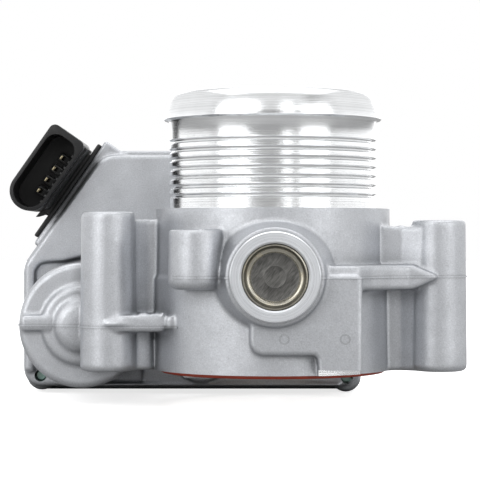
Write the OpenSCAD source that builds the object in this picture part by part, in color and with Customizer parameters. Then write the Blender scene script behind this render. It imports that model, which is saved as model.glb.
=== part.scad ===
// Motor-driven throttle body with a hose spigot, a bolt-on flange and a gear case at the back.
// Frame: the origin is where the bore axis meets the flange face. +Z runs up the bore to the
// hose spigot. The throttle shaft lies along Y, with its plugged end at -Y and the gear case
// at +Y. The motor lies beside the bore, on the -X side.

/* [Air path] */
// Diameter of the air bore
bore_d = 60; // [54:1:64]
// Wall of the hose spigot
spigot_wall = 3.25; // [2.5:0.25:4.5]
// Height of the hose spigot above the collar
spigot_h = 37; // [34:1:46]
// How far the barbed rim stands out from the spigot
rim_step = 1.75; // [0.8:0.05:2.5]
// Height of the barbed rim
rim_h = 8.6; // [6:0.1:11]
// Number of grip grooves
groove_count = 7; // [3:1:7]
// Spacing of the grip grooves
groove_pitch = 2.87; // [2.4:0.01:3]
// Depth of the grip grooves
groove_depth = 0.8; // [0.4:0.1:1.2]
// Wall of the collar under the spigot
collar_wall = 7.5; // [6:0.5:9]
// Height of the collar's top above the shaft axis
collar_rise = 21; // [19:1:26]
// Wall of the body around the flange face
base_wall = 9; // [8:0.5:11]

/* [Flange] */
// Distance of the front bolts from the bore axis, along X, beyond the bore's own radius
ear_reach = 22; // [20:0.5:27]
// Diameter of the bolt bosses
ear_d = 17.2; // [15:0.2:20]
// Diameter of the bolt holes
bolt_hole_d = 6.8; // [5.4:0.1:8.4]
// Height of the left bolt boss
left_ear_h = 50; // [44:1:56]
// Height of the right bolt boss
right_ear_h = 47.4; // [42:0.2:54]
// Width of the flange seal
seal_w = 3.4; // [2.4:0.1:4]
// How far the flange seal stands out of the face
seal_proud = 1.2; // [0.6:0.1:1.6]

/* [Throttle] */
// Diameter of the throttle shaft
shaft_d = 8; // [7:0.5:9]
// Outside diameter of the shaft bearings
bearing_d = 19; // [18:0.5:20]
// Width of the shaft bearings
bearing_w = 6; // [5:0.5:7]
// Thickness of the throttle plate
plate_t = 2; // [1.6:0.1:2.6]
// Gap between the throttle plate's edge and the bore
plate_gap = 0.15; // [0.1:0.05:0.4]

/* [Gears] */
// Module of the pinion and the large gear
fast_module = 0.8; // [0.75:0.05:0.9]
// Module of the small gear and the sector
slow_module = 1; // [0.9:0.05:1.1]
// Teeth on the motor pinion
pinion_teeth = 14; // [12:1:16]
// Teeth on the large intermediate gear
large_teeth = 56; // [50:1:58]
// Teeth on the small intermediate gear
small_teeth = 14; // [13:1:16]
// Teeth that the sector would have as a full gear
sector_teeth = 58; // [54:1:60]
// Thinning of every tooth at the pitch circle
tooth_thinning = 0.14; // [0.1:0.02:0.2]
// Travel of the throttle, in degrees
throttle_travel = 85; // [75:1:88]

/* [Motor] */
// Diameter of the motor can
motor_d = 34.4; // [32:0.2:36]
// Length of the motor can
motor_len = 44.5; // [42:0.5:50]
// Wall of the barrel that holds the motor
barrel_wall = 2.6; // [2:0.1:3.4]

/* [Gear case] */
// Wall of the gear case
case_wall = 3; // [2.4:0.2:3.6]
// Depth inside the gear case, from its floor to the cover joint
case_depth = 17; // [17:0.5:20]
// Thickness of the gear case floor
floor_t = 4; // [3.6:0.2:5]
// How far the cover joint's flange stands out from the wall
joint_lip = 2.2; // [1.4:0.2:3]
// Diameter of the cover screws
cover_screw_d = 4; // [3:0.5:4.5]

/* [Connector] */
// Angle of the connector's face above the horizontal
connector_angle = 55; // [50:1:58]
// Length of the connector's mouth
mouth_l = 30; // [27:0.5:32]
// Width of the connector's mouth
mouth_w = 13.6; // [12.4:0.1:14.4]
// Wall of the connector's shroud
shroud_wall = 1.4; // [1.1:0.1:1.8]
// Number of pins
pin_count = 4; // [3:1:5]
// Spacing of the pins
pin_pitch = 4.5; // [4:0.1:5]

/* [Hidden] */
$fn = 64;

// Clearances
press_gap = 0.02;
running_gap = 0.05;
air_gap = 0.3;
eps = 0.01;

// Air path
bore_r = bore_d / 2;
spigot_r = bore_r + spigot_wall;
rim_r = spigot_r + rim_step;
rim_land = 1.5;
rim_crown = 2.4;
collar_r = bore_r + collar_wall;
base_r = bore_r + base_wall;
shaft_z = bore_r;
collar_z = shaft_z + collar_rise;
spigot_z = collar_z + spigot_h;
rim_z = spigot_z - rim_h;
first_groove_z = rim_z - 7.1;
plate_r = bore_r - plate_gap;

// Flange seal
seal_inner_r = bore_r + 2.8;
seal_depth = 2.4;
seal_side_gap = 0.15;

// Stations along the shaft, counted outwards from the bore wall
hole_wall = 2;
seal_seat_w = 3;
seal_seat_d = 14;
seal_y = bore_r + hole_wall;
bearing_y = seal_y + seal_seat_w;
bearing_end_y = bearing_y + bearing_w;
plug_d = bearing_d + 1.2;
plug_depth = 4.6;
nose_y = bearing_end_y + plug_depth + 0.4;
nose_r = plug_d / 2 + 3.6;
floor_y = bearing_end_y;
wall_y = floor_y - floor_t;
joint_y = floor_y + case_depth;

// Gear train, with each axis placed from the one before
slow_distance = slow_module * (sector_teeth + small_teeth) / 2;
fast_distance = fast_module * (large_teeth + pinion_teeth) / 2;
slow_angle = 186;
fast_angle = 206;
shaft_at = [0, shaft_z];
axle_at = shaft_at + slow_distance * [cos(slow_angle), sin(slow_angle)];
motor_at = axle_at + fast_distance * [cos(fast_angle), sin(fast_angle)];
large_y = floor_y + 5;
large_w = 4;
sector_y = large_y + large_w + 0.5;
sector_w = 6;
small_end_y = sector_y + sector_w + 0.5;
axle_d = 4;
hub_r = 9;

// The sector's teeth, counted from the one that points at the small gear when the throttle is at rest
tooth_margin = 13;
sector_step = 360 / sector_teeth;
sector_from = -floor((throttle_travel + tooth_margin) / sector_step);
sector_to = floor(tooth_margin / sector_step);
sector_first = slow_angle + (sector_from - 0.5) * sector_step;
sector_last = slow_angle + (sector_to + 0.5) * sector_step;

// Posts that stop the sector, just clear of its open and its closed positions
stop_r = 2.4;
stop_reach = 22;
stop_half = asin(stop_r / stop_reach);
stop_angles = [sector_first - stop_half, sector_last + throttle_travel + stop_half];
stop_posts = [for (a = stop_angles) shaft_at + stop_reach * [cos(a), sin(a)]];

// Motor
motor_r = motor_d / 2;
barrel_r = motor_r + 0.3 + barrel_wall;
motor_y = floor_y - motor_len;
barrel_y = motor_y - 0.5 - floor_t;
motor_hub_r = 5;
motor_hub_h = 3.5;
motor_shaft_r = 1.6;
plate_seat = 2;
motor_screw_angles = [62, -48];
motor_screw_r = motor_r + 3.6;

// Bolt bosses
ear_r = ear_d / 2;
ear_x = bore_r + ear_reach;
ear_y = barrel_y - ear_r + 1.6;
rear_ear_at = [bore_r + 9.5, bore_r + 4];
rear_ear_h = shaft_z + 10;
web_t = 7;

// Bracket boss beside the shaft's plugged end
bracket_at = [-(bore_r - 6), -(bore_r + 4)];
bracket_r = 8.4;
bracket_low_z = shaft_z - 4;
bracket_top_z = shaft_z + 14.2;
bracket_hole_r = 2.5;
bracket_hole_h = 14;

// Pad on the front of the body, below the shaft
pad_y = bore_r + 11;
pad_left_x = -7.5;
pad_step_x = 12.8;
pad_right_x = 26.3;
pad_foot_z = 6.3;

// Gear case outline in X and Z
case_left = motor_at.x - barrel_r - 3.4;
case_right = shaft_at.x + 29;
case_low = motor_at.y - barrel_r - 3;
case_high = shaft_at.y + 40.3;
face_dir = [cos(connector_angle), sin(connector_angle)];
face_out = [-sin(connector_angle), cos(connector_angle)];
face_l = 43.4;
face_at = [case_left + 15.2, case_high - 12.6];
wall_inset = joint_lip + 0.2;
lobe_r = 5.3;
lobe_y = floor_y + 3;
left_lobe = [case_left + lobe_r, case_low + 3.6];
right_lobe = [case_right - 2.8, case_low + 2.9];
inner_boss_r = 4.6;
boss_in = 5;
inner_screws = [
    [case_right - boss_in, case_high - boss_in],
    [shaft_at.x - 14, case_high - boss_in + 0.6],
    [face_at.x + 17, case_high - boss_in + 0.2],
    [case_left + boss_in, face_at.y - 27],
    [axle_at.x + 12, case_low + boss_in + 0.6],
];
cover_screws_at = concat([left_lobe, right_lobe], inner_screws);

// Cover
cover_t = 3;
dome_h = 5;
dome_wall = 2.4;
dome_inset = 4.6;
cover_y = joint_y + cover_t;
dome_y = cover_y + dome_h;
dome_inner_y = dome_y - dome_wall;
axle_end_y = joint_y + 3.6;
head_h = 2.6;
head_r = cover_screw_d / 2 + 1.7;
screw_len = joint_y - lobe_y - 2;

// Board inside the cover
board_t = 1.6;
board_y = dome_inner_y - 1.7 - board_t;
board_posts = [[shaft_at.x + 18, shaft_at.y + 23], [shaft_at.x + 18, shaft_at.y - 19],
               [axle_at.x - 4, axle_at.y + 24]];

// Connector, in its own frame: x along the case's face, y as Y, z out of the face
face_y = floor_y - 0.5;
face_w = joint_y - face_y;
window_l = 26;
window_y = face_y + 5;
window_w = 9;
flange_l = 39;
flange_t = 1.6;
flange_w = face_w - 1;
shroud_x = 1.6;
shroud_z = 9.6;
shroud_y = floor_y - 18;
shroud_depth = 26.5;
socket_depth = 17;

// ---------------------------------------------------------------- outlines

function unit(v) = v / norm(v);

// Points of an arc of radius r that rounds the corner b between a and c
function corner(a, b, c, r, steps = 6) =
    let (u = unit(a - b), w = unit(c - b), half = acos(u * w) / 2)
    let (o = b + unit(u + w) * r / sin(half), s = b + u * r / tan(half), e = b + w * r / tan(half))
    let (from = atan2(s.y - o.y, s.x - o.x), to = atan2(e.y - o.y, e.x - o.x))
    let (turn = (to - from + 540) % 360 - 180)
    [for (i = [0:steps]) o + r * [cos(from + turn * i / steps), sin(from + turn * i / steps)]];

// A polygon's outline with every corner rounded by its own radius
function rounded(points, radii) =
    let (n = len(points))
    [for (i = [0:n - 1]) each corner(points[(i + n - 1) % n], points[i], points[(i + 1) % n], radii[i])];

// The gear case outline, grown outwards by g
function case_outline(g) =
    let (reach = face_at * face_out - wall_inset + g)
    let (top_x = (reach - (case_high + g) * face_out.y) / face_out.x)
    let (side_z = (reach - (case_left - g) * face_out.x) / face_out.y)
    rounded(
        [[case_left - g, case_low - g], [case_right + g, case_low - g], [case_right + g, case_high + g],
         [top_x, case_high + g], [case_left - g, side_z]],
        [for (r = [5.3, 5, 6, 9, 7]) max(r + g, 0.8)]);

function involute(a) = tan(a) * 180 / PI - a;

// Outline of gear teeth first to last, of which tooth 0 is centred on the x axis
function tooth_points(teeth, m, first, last, steps = 4) =
    let (pressure = 25, pitch_r = m * teeth / 2, base = pitch_r * cos(pressure))
    let (tip = pitch_r + 0.8 * m, root = pitch_r - 1.1 * m, low = max(base, root + eps))
    let (half = (PI * m / 2 - tooth_thinning) / 2 / pitch_r * 180 / PI + involute(pressure))
    let (foot = half - involute(acos(base / low)))
    [for (t = [first:last]) let (mid = 360 * t / teeth)
        each concat(
            [root * [cos(mid - foot), sin(mid - foot)]],
            [for (i = [0:steps]) let (r = low + (tip - low) * i / steps,
                                      a = mid - half + involute(acos(base / r)))
                r * [cos(a), sin(a)]],
            [for (i = [steps:-1:0]) let (r = low + (tip - low) * i / steps,
                                         a = mid + half - involute(acos(base / r)))
                r * [cos(a), sin(a)]],
            [root * [cos(mid + foot), sin(mid + foot)]])];

// ---------------------------------------------------------------- helpers

// Extrudes an X-Z outline from y0 to y1
module slab(y0, y1) translate([0, y1, 0]) rotate([90, 0, 0]) linear_extrude(y1 - y0) children();

// Turns a profile of [radius, y] points about an axis along Y
module turned(at, profile) translate([at.x, 0, at.y]) rotate([-90, 0, 0]) rotate_extrude() polygon(profile);

// A round bar along Y
module bar(at, r, y0, y1) translate([at.x, y0, at.y]) rotate([-90, 0, 0]) cylinder(r = r, h = y1 - y0);

// A tube along Y
module tube(at, r_in, r_out, y0, y1) difference() {
    bar(at, r_out, y0, y1);
    bar(at, r_in, y0 - eps, y1 + eps);
}

// Moves to the connector's frame on the case's slanted face
module on_face() translate([face_at.x, 0, face_at.y]) rotate([0, -connector_angle, 0]) children();

// A box given by its lowest and highest corners
module block(low, high) translate(low) cube(high - low);

// A slot with round ends, in the x-y plane
module slot_shape(l, w) union() {
    square([l - w, w], center = true);
    for (s = [-1, 1]) translate([s * (l - w) / 2, 0]) circle(d = w);
}

// ---------------------------------------------------------------- housing

spigot_profile = concat(
    [[0, collar_z - 2], [spigot_r, collar_z - 2]],
    [for (i = [groove_count - 1:-1:0]) let (z = first_groove_z - i * groove_pitch)
        each [[spigot_r, z - 0.75], [spigot_r - groove_depth, z - 0.2], [spigot_r - groove_depth, z + 0.2],
              [spigot_r, z + 0.75]]],
    [[spigot_r, rim_z], [rim_r, rim_z], [rim_r, rim_z + rim_land], [rim_r - 1.2, spigot_z - rim_crown],
     [rim_r - 2.6, spigot_z], [0, spigot_z]]);

module ear(x, h) {
    translate([x, ear_y, 0]) cylinder(r1 = ear_r + 0.3, r2 = ear_r - 0.2, h = h);
    side = sign(x);
    web_in = side * (base_r - 8);
    low_x = min(web_in, x);
    high_x = max(web_in, x);
    block([low_x, ear_y - 1, 0], [high_x, ear_y + web_t, shaft_z]);
    block([low_x, ear_y - web_t / 2, shaft_z - 4], [high_x, ear_y + web_t / 2, h - 3]);
}

// Gusset plate between a bolt boss and the body, at the mould's parting height
module gusset(x, z0, z1) {
    side = sign(x);
    translate([0, 0, z0]) linear_extrude(z1 - z0) polygon([
        [side * (base_r - 14), -(base_r - 9)], [x - side * 1, ear_y - ear_r + 0.8],
        [x - side * 1, ear_y + 6], [side * (base_r - 10), ear_y + 6]]);
}

module body_casting() {
    cylinder(r = base_r, h = shaft_z);
    translate([0, 0, shaft_z - 1]) cylinder(r = collar_r, h = collar_z - shaft_z + 1);
    rotate_extrude() polygon(spigot_profile);
    ear(-ear_x, left_ear_h);
    ear(ear_x, right_ear_h);
    gusset(-ear_x, motor_at.y - 1, motor_at.y + 4);
    gusset(ear_x, shaft_z - 3.6, shaft_z + 3);
    // Rear bolt boss and its web
    translate([rear_ear_at.x, rear_ear_at.y, 0]) cylinder(r = ear_r, h = rear_ear_h);
    block([bore_r - 14, rear_ear_at.y - 10, 0], [rear_ear_at.x, rear_ear_at.y, rear_ear_h - 4]);
    // Bracket boss and its webs
    translate([bracket_at.x, bracket_at.y, bracket_low_z])
        cylinder(r = bracket_r, h = bracket_top_z - bracket_low_z);
    block([bracket_at.x - 5, bracket_at.y, bracket_low_z + 2],
          [bracket_at.x + 6, -(bore_r - 8), bracket_top_z - 2]);
    block([bracket_at.x, bracket_at.y - 2, bracket_low_z + 2], [-6, -(bore_r + 1), bracket_top_z - 6]);
    // Front bearing nose
    turned(shaft_at, [[0, -bore_r], [nose_r + 4.6, -bore_r], [nose_r + 4.6, -(bore_r + 5)],
                      [nose_r + 1.2, -(nose_y - 2.4)], [nose_r, -(nose_y - 2.4)], [nose_r, -nose_y],
                          [0, -nose_y]]);
    // Pad on the front of the body
    slab(-pad_y, -(bore_r - 4)) polygon(concat(
        [[pad_right_x, 0], [pad_right_x, shaft_z + 2.2], [pad_left_x, shaft_z + 2.2]],
        corner([pad_left_x, shaft_z], [pad_left_x, pad_foot_z], [pad_step_x, pad_foot_z], 4),
        [[pad_step_x, pad_foot_z], [pad_step_x, 0]]));
    // Rear bearing block, from the bore to the gear case
    bar(shaft_at, bearing_d / 2 + 4, bore_r - 4, wall_y + 1);
}

module case_casting() {
    slab(wall_y, joint_y) polygon(case_outline(0));
    slab(joint_y - 4, joint_y) polygon(case_outline(joint_lip));
    bar(left_lobe, lobe_r, lobe_y, joint_y);
    bar(right_lobe, lobe_r, lobe_y, joint_y);
    on_face() block([-face_l / 2, face_y, -14], [face_l / 2, joint_y, 0]);
    // Motor barrel with the domed seat of the motor's rear bush
    bar(motor_at, barrel_r, barrel_y, wall_y + 1);
    turned(motor_at, [[0, barrel_y + 1], [11.4, barrel_y + 1], [11.4, barrel_y - 1], [10.4, barrel_y - 2],
                      [9, barrel_y - 2], [8, barrel_y - 4], [0, barrel_y - 4]]);
    block([motor_at.x - barrel_r + 1, barrel_y - 1.6, motor_at.y - 2],
          [motor_at.x, barrel_y + 1, motor_at.y + 2]);
    bar([inner_screws[4].x, case_low + 11], 9.4, wall_y - 2, wall_y + 1);
}

module case_cavity() {
    slab(floor_y, joint_y + eps) difference() {
        seal_path(case_wall);
        for (p = inner_screws) translate(p) circle(r = inner_boss_r);
        // Open and closed stops for the sector, and the spring's fixed post
        for (p = stop_posts) translate(p) circle(r = stop_r);
    }
    // The spaces above the stops, which are lower than the wall
    for (p = stop_posts) bar(p, stop_r + 0.5, sector_y + sector_w, joint_y + eps);
    bar(motor_at, motor_r + 0.3, motor_y - 0.5, floor_y + eps);
    bar(motor_at, motor_hub_r + 0.5, motor_y - 0.5 - motor_hub_h - 0.3, motor_y);
}

module shaft_bores() {
    for (s = [-1, 1]) scale([1, s, 1]) {
        bar(shaft_at, shaft_d / 2 + 0.5, bore_r - 4, bearing_y + eps);
        bar(shaft_at, seal_seat_d / 2, seal_y, bearing_y + eps);
        bar(shaft_at, bearing_d / 2, bearing_y, bearing_end_y + eps);
    }
    bar(shaft_at, plug_d / 2, -nose_y - eps, -bearing_end_y);
    turned(shaft_at, [[0, -nose_y - eps], [plug_d / 2 + 0.4, -nose_y - eps], [plug_d / 2, -nose_y + 0.4],
                      [0, -nose_y + 0.4]]);
}

module throttle_housing() color("silver") difference() {
    union() {
        body_casting();
        case_casting();
        intersection() {
            union() {
                bar(axle_at, 4, floor_y - 1, large_y - 0.3);
                bar(spring_post, 1.4, floor_y - 1, floor_y + 3);
            }
            slab(floor_y - 1, joint_y) polygon(case_outline(-1));
        }
    }
    translate([0, 0, -eps]) cylinder(r = bore_r, h = spigot_z + 2 * eps);
    difference() {
        case_cavity();
        bar(axle_at, 4, floor_y - 1, large_y - 0.3);
        bar(spring_post, 1.4, floor_y - 1, floor_y + 3);
    }
    shaft_bores();
    bar(axle_at, axle_d / 2 + press_gap, floor_y - 3, large_y);
    for (x = [-ear_x, ear_x]) translate([x, ear_y, -eps])
        cylinder(d = bolt_hole_d, h = left_ear_h + right_ear_h);
    translate([rear_ear_at.x, rear_ear_at.y, -eps]) cylinder(d = bolt_hole_d, h = rear_ear_h + 2 * eps);
    translate([bracket_at.x, bracket_at.y, bracket_top_z - bracket_hole_h])
        cylinder(r = bracket_hole_r, h = bracket_hole_h + eps);
    // Seal groove in the flange face
    translate([0, 0, -eps]) difference() {
        cylinder(r = seal_inner_r + seal_w + seal_side_gap, h = seal_depth + eps);
        translate([0, 0, -eps]) cylinder(r = seal_inner_r - seal_side_gap, h = seal_depth + 3 * eps);
    }
    // Turned relief where the pad would stand past the flange
    translate([0, 0, -eps]) difference() {
        cylinder(r = pad_y + 12, h = 2.2);
        translate([0, 0, -eps]) cylinder(r = base_r + 1.6, h = 2.4);
        block([-90, -(bore_r - 4), -1], [90, 90, 4]);
        block([-90, -90, -1], [0, 0, 4]);
        block([pad_right_x + 1, -90, -1], [90, 0, 4]);
    }
    for (p = [left_lobe, right_lobe]) bar(p, cover_screw_d / 2 + running_gap, lobe_y - 1, joint_y + eps);
    for (p = inner_screws) bar(p, cover_screw_d / 2 + running_gap, joint_y - screw_len - 1, joint_y + eps);
    for (a = motor_screw_angles) bar(motor_at + motor_screw_r * [cos(a), sin(a)], 1.5 + running_gap,
                                     floor_y - 3.4, floor_y + eps);
    // Gasket groove in the cover joint
    slab(joint_y - 1, joint_y + eps) difference() {
        seal_path(0.85);
        seal_path(2.2);
    }
    // Connector window with the step that holds its seal
    on_face() {
        block([-window_l / 2, window_y, -16], [window_l / 2, window_y + window_w, eps]);
        block([-window_l / 2 - 2, window_y - 2, -2], [window_l / 2 + 2, window_y + window_w + 2, eps]);
    }
}

module flange_seal() color("firebrick") {
    // A square ring with two rounded lips that stand out of the face
    rotate_extrude() union() {
        translate([seal_inner_r, 0]) square([seal_w, seal_depth]);
        for (x = [0.27, 0.73]) translate([seal_inner_r + seal_w * x, 0]) union() {
            circle(r = seal_proud / 2);
            translate([0, -seal_proud / 2]) circle(r = seal_proud / 2);
        }
        translate([seal_inner_r + 0.2, -seal_proud / 2]) square([seal_w - 0.4, seal_proud]);
    }
}

module shaft_end_plug() color("tan")
    turned(shaft_at, [[0, -bearing_end_y - 0.3], [plug_d / 2 - 1.6, -bearing_end_y - 0.3],
                      [plug_d / 2 - press_gap, -bearing_end_y - 1.6],
                      [plug_d / 2 - press_gap, -nose_y + 1.7], [plug_d / 2 - 1, -nose_y + 1.4],
                          [plug_d / 2 - 1.1, -nose_y + 1.8],
                      [plug_d / 2 - 1.2, -bearing_end_y - 2.2], [plug_d / 2 - 2.6, -bearing_end_y - 1.3],
                      [0, -bearing_end_y - 1.3]]);

// ---------------------------------------------------------------- bearings

ball_count = 8;
ball_r = 1.55;
race_mid = (shaft_d + bearing_d) / 4;
race_gap = 1.2;

module outer_race(y0) color("lightsteelblue") difference() {
    tube(shaft_at, race_mid + race_gap, bearing_d / 2 - press_gap, y0, y0 + bearing_w);
    ball_track(y0);
}

module inner_race(y0) color("lightsteelblue") difference() {
    tube(shaft_at, shaft_d / 2 + press_gap, race_mid - race_gap, y0, y0 + bearing_w);
    ball_track(y0);
}

module ball_track(y0)
    translate([shaft_at.x, y0 + bearing_w / 2, shaft_at.y]) rotate([90, 0, 0])
        rotate_extrude() translate([race_mid, 0]) circle(r = ball_r + running_gap);

module balls(y0) color("gainsboro")
    for (i = [0:ball_count - 1]) let (a = 360 * i / ball_count)
        translate([shaft_at.x + race_mid * cos(a), y0 + bearing_w / 2, shaft_at.y + race_mid * sin(a)])
            sphere(r = ball_r);

front_race_y = -bearing_end_y;
rear_race_y = bearing_y;
module front_bearing_outer_race() outer_race(front_race_y);
module front_bearing_inner_race() inner_race(front_race_y);
module front_bearing_balls() balls(front_race_y);
module rear_bearing_outer_race() outer_race(rear_race_y);
module rear_bearing_inner_race() inner_race(rear_race_y);
module rear_bearing_balls() balls(rear_race_y);

// Lip seal with its mouth towards the bearing
module shaft_seal(s) color("dimgray")
    turned(shaft_at, [[seal_seat_d / 2 - press_gap, s * (bearing_y - 0.1)],
                      [seal_seat_d / 2 - press_gap, s * (seal_y + 0.1)],
                      [shaft_d / 2 + 0.6, s * (seal_y + 0.1)],
                          [shaft_d / 2 + running_gap, s * (seal_y + 1)],
                      [shaft_d / 2 + 0.5, s * (bearing_y - 1)], [seal_seat_d / 2 - 1.2, s * (seal_y + 1)],
                      [seal_seat_d / 2 - 1.2, s * (bearing_y - 0.1)]]);

module front_shaft_seal() shaft_seal(-1);
module rear_shaft_seal() shaft_seal(1);

// ---------------------------------------------------------------- throttle

shaft_front_y = -(bearing_end_y - 0.2);
shaft_rear_y = sector_y + sector_w + 0.4;
plate_screw_y = bore_r * 0.45;
plate_screw_r = 1.5;
gear_flat = shaft_d / 2 - 1;

module throttle_shaft() color("slategray") difference() {
    bar(shaft_at, shaft_d / 2, shaft_front_y, shaft_rear_y);
    // Slot for the plate
    block([-plate_t / 2 - press_gap, -bore_r + 1, shaft_z - shaft_d],
          [plate_t / 2 + press_gap, bore_r - 1, shaft_z + shaft_d]);
    for (s = [-1, 1]) translate([-shaft_d, s * plate_screw_y, shaft_z]) rotate([0, 90, 0])
        cylinder(r = plate_screw_r + running_gap, h = 2 * shaft_d);
    // Flats under the screw heads and under the gear
    for (s = [-1, 1]) block([shaft_d / 2 - 1, s * plate_screw_y - 3.2, shaft_z - shaft_d],
                            [shaft_d, s * plate_screw_y + 3.2, shaft_z + shaft_d]);
    block([gear_flat, sector_y, shaft_z - shaft_d], [shaft_d, shaft_rear_y + eps, shaft_z + shaft_d]);
}

module throttle_plate() color("goldenrod") difference() {
    translate([0, 0, shaft_z]) rotate([0, 90, 0]) rotate_extrude() polygon([
        [0, -plate_t / 2], [plate_r - 0.4, -plate_t / 2], [plate_r, -plate_t / 2 + 0.4],
        [plate_r, plate_t / 2 - 0.4], [plate_r - 0.4, plate_t / 2], [0, plate_t / 2]]);
    for (s = [-1, 1]) {
        translate([-shaft_d, s * plate_screw_y, shaft_z]) rotate([0, 90, 0])
            cylinder(r = plate_screw_r + running_gap, h = 2 * shaft_d);
        // Ends where the plate stays clear of the shaft's solid ends
        block([-plate_t, s > 0 ? bore_r - 1.2 : -bore_r - 1, shaft_z - shaft_d / 2 - 0.4],
              [plate_t, s > 0 ? bore_r + 1 : -bore_r + 1.2, shaft_z + shaft_d / 2 + 0.4]);
    }
}

module plate_screws() color("gainsboro")
    for (s = [-1, 1]) translate([0, s * plate_screw_y, shaft_z]) rotate([0, 90, 0]) difference() {
        union() {
            translate([0, 0, -shaft_d / 2 + 0.4]) cylinder(r = plate_screw_r, h = shaft_d - 1);
            translate([0, 0, shaft_d / 2 - 1]) cylinder(r1 = 2.8, r2 = 2.3, h = 1.6);
        }
        translate([0, 0, shaft_d / 2 - 0.4]) cylinder(r = 1.2, h = 2, $fn = 6);
    }

module gear_wheel(teeth, m, turn, y0, y1) translate([0, y1, 0]) rotate([90, 0, 0])
    linear_extrude(y1 - y0) rotate(turn) polygon(tooth_points(teeth, m, 0, teeth - 1));

fan_r = slow_module * sector_teeth / 2 - 1.1 * slow_module;

module throttle_gear() color("wheat") difference() {
    union() {
        translate([shaft_at.x, sector_y + sector_w, shaft_at.y]) rotate([90, 0, 0])
            linear_extrude(sector_w) rotate(slow_angle)
            polygon(concat([[0, 0]], tooth_points(sector_teeth, slow_module, sector_from, sector_to)));
        bar(shaft_at, hub_r, sector_y, sector_y + sector_w + 1);
    }
    difference() {
        bar(shaft_at, shaft_d / 2 + press_gap, sector_y - eps, sector_y + sector_w + 2);
        block([gear_flat + press_gap, sector_y - 1, shaft_z - shaft_d],
              [shaft_d, sector_y + sector_w + 2, shaft_z + shaft_d]);
    }
    // Weight-saving pockets between the hub and the teeth
    for (a = [sector_first + 22:21:sector_last - 18])
        bar(shaft_at + (hub_r + fan_r) / 2 * [cos(a), sin(a)], 3.1, sector_y - 1, sector_y + sector_w + 1);
    // Hole for the return spring's moving end
    bar(shaft_at + spring_r * [cos(tang_angle + 3.2), sin(tang_angle + 3.2)], wire_r + 0.3, sector_y - 1,
        sector_y + 2.2);
}

module spring_guide() color("black") tube(shaft_at, shaft_d / 2 + press_gap, spring_r - wire_r - 1.1,
                                          floor_y + 1, sector_y - press_gap);

module sensor_magnet() color("dimgray") tube(shaft_at, 2.6, 6.6, sector_y + sector_w + 1 + press_gap,
                                             sector_y + sector_w + 2.6);

// ---------------------------------------------------------------- return spring

spring_r = 11.4;
wire_r = 0.75;
spring_turns = 3.5;
spring_low_y = floor_y + 1.6;
spring_high_y = sector_y - 1.5;
spring_leg = 4.6;
leg_angle = 330;
tang_angle = leg_angle + 360 * spring_turns;
spring_post = shaft_at + (spring_r + 3.4) * [cos(leg_angle + 8.8), sin(leg_angle + 8.8)];
helix_rings = 72;

// Centre line of the wire: a leg out from the floor end, the coils, then a tang along Y into the sector
spring_path = concat(
    [for (r = [spring_r + spring_leg, spring_r + 1.5])
        [shaft_at.x + r * cos(leg_angle), spring_low_y, shaft_at.y + r * sin(leg_angle)]],
    [for (i = [0:helix_rings]) let (a = leg_angle + 360 * spring_turns * i / helix_rings,
                                   y = spring_low_y + (spring_high_y - spring_low_y) * i / helix_rings)
        [shaft_at.x + spring_r * cos(a), y, shaft_at.y + spring_r * sin(a)]],
    [[shaft_at.x + spring_r * cos(tang_angle + 3), sector_y - 0.4,
      shaft_at.y + spring_r * sin(tang_angle + 3)],
     [shaft_at.x + spring_r * cos(tang_angle + 3.4), sector_y + 1.4,
      shaft_at.y + spring_r * sin(tang_angle + 3.4)]]);

// Sweeps a round wire along a path, with rings square to it
function direction(path, i) = unit(path[min(i + 1, len(path) - 1)] - path[max(i - 1, 0)]);
function wire_ring(path, i, r, sides) =
    let (d = direction(path, i), centre = [shaft_at.x, path[i].y, shaft_at.y])
    let (out = unit(path[i] - centre - ((path[i] - centre) * d) * d), side = cross(d, out))
    [for (k = [0:sides - 1]) path[i] + r * (cos(360 * k / sides) * out + sin(360 * k / sides) * side)];

module wire(path, r, sides = 8) {
    n = len(path);
    polyhedron(
        points = [for (i = [0:n - 1]) each wire_ring(path, i, r, sides)],
        faces = concat(
            [for (i = [0:n - 2], k = [0:sides - 1]) let (a = i * sides + k, b = i * sides + (k + 1) % sides)
                each [[a, b, a + sides], [b, b + sides, a + sides]]],
            [[for (k = [sides - 1:-1:0]) k]],
            [[for (k = [0:sides - 1]) (n - 1) * sides + k]]));
}

module return_spring() color("steelblue") wire(spring_path, wire_r);

// ---------------------------------------------------------------- intermediate gear

module intermediate_axle() color("silver") bar(axle_at, axle_d / 2, floor_y - 2.8, axle_end_y);

// A tooth gap of each gear faces the tooth that meshes with it
small_turn = slow_angle + 180 + 180 / small_teeth;
large_turn = fast_angle;
module intermediate_gear() color("ivory") difference() {
    translate([axle_at.x, 0, axle_at.y]) {
        gear_wheel(large_teeth, fast_module, large_turn, large_y, large_y + large_w);
        gear_wheel(small_teeth, slow_module, small_turn, large_y + large_w, small_end_y);
    }
    bar(axle_at, axle_d / 2 + running_gap, large_y - 1, small_end_y + 1);
    // Recess in the large gear's web
    difference() {
        bar(axle_at, fast_module * large_teeth / 2 - 3.4, large_y - 1, large_y + 1.3);
        bar(axle_at, 5, large_y - 2, large_y + 2);
    }
}

// ---------------------------------------------------------------- motor

module motor_can() color("lightgray") difference() {
    union() {
        bar(motor_at, motor_r, motor_y, floor_y);
        bar(motor_at, motor_hub_r, motor_y - motor_hub_h, motor_y + 1);
    }
    bar(motor_at, motor_r - 1.2, motor_y + 1.5, floor_y + eps);
    bar(motor_at, motor_hub_r - 1.4, motor_y - motor_hub_h + 0.8, motor_y + 2);
}

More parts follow.
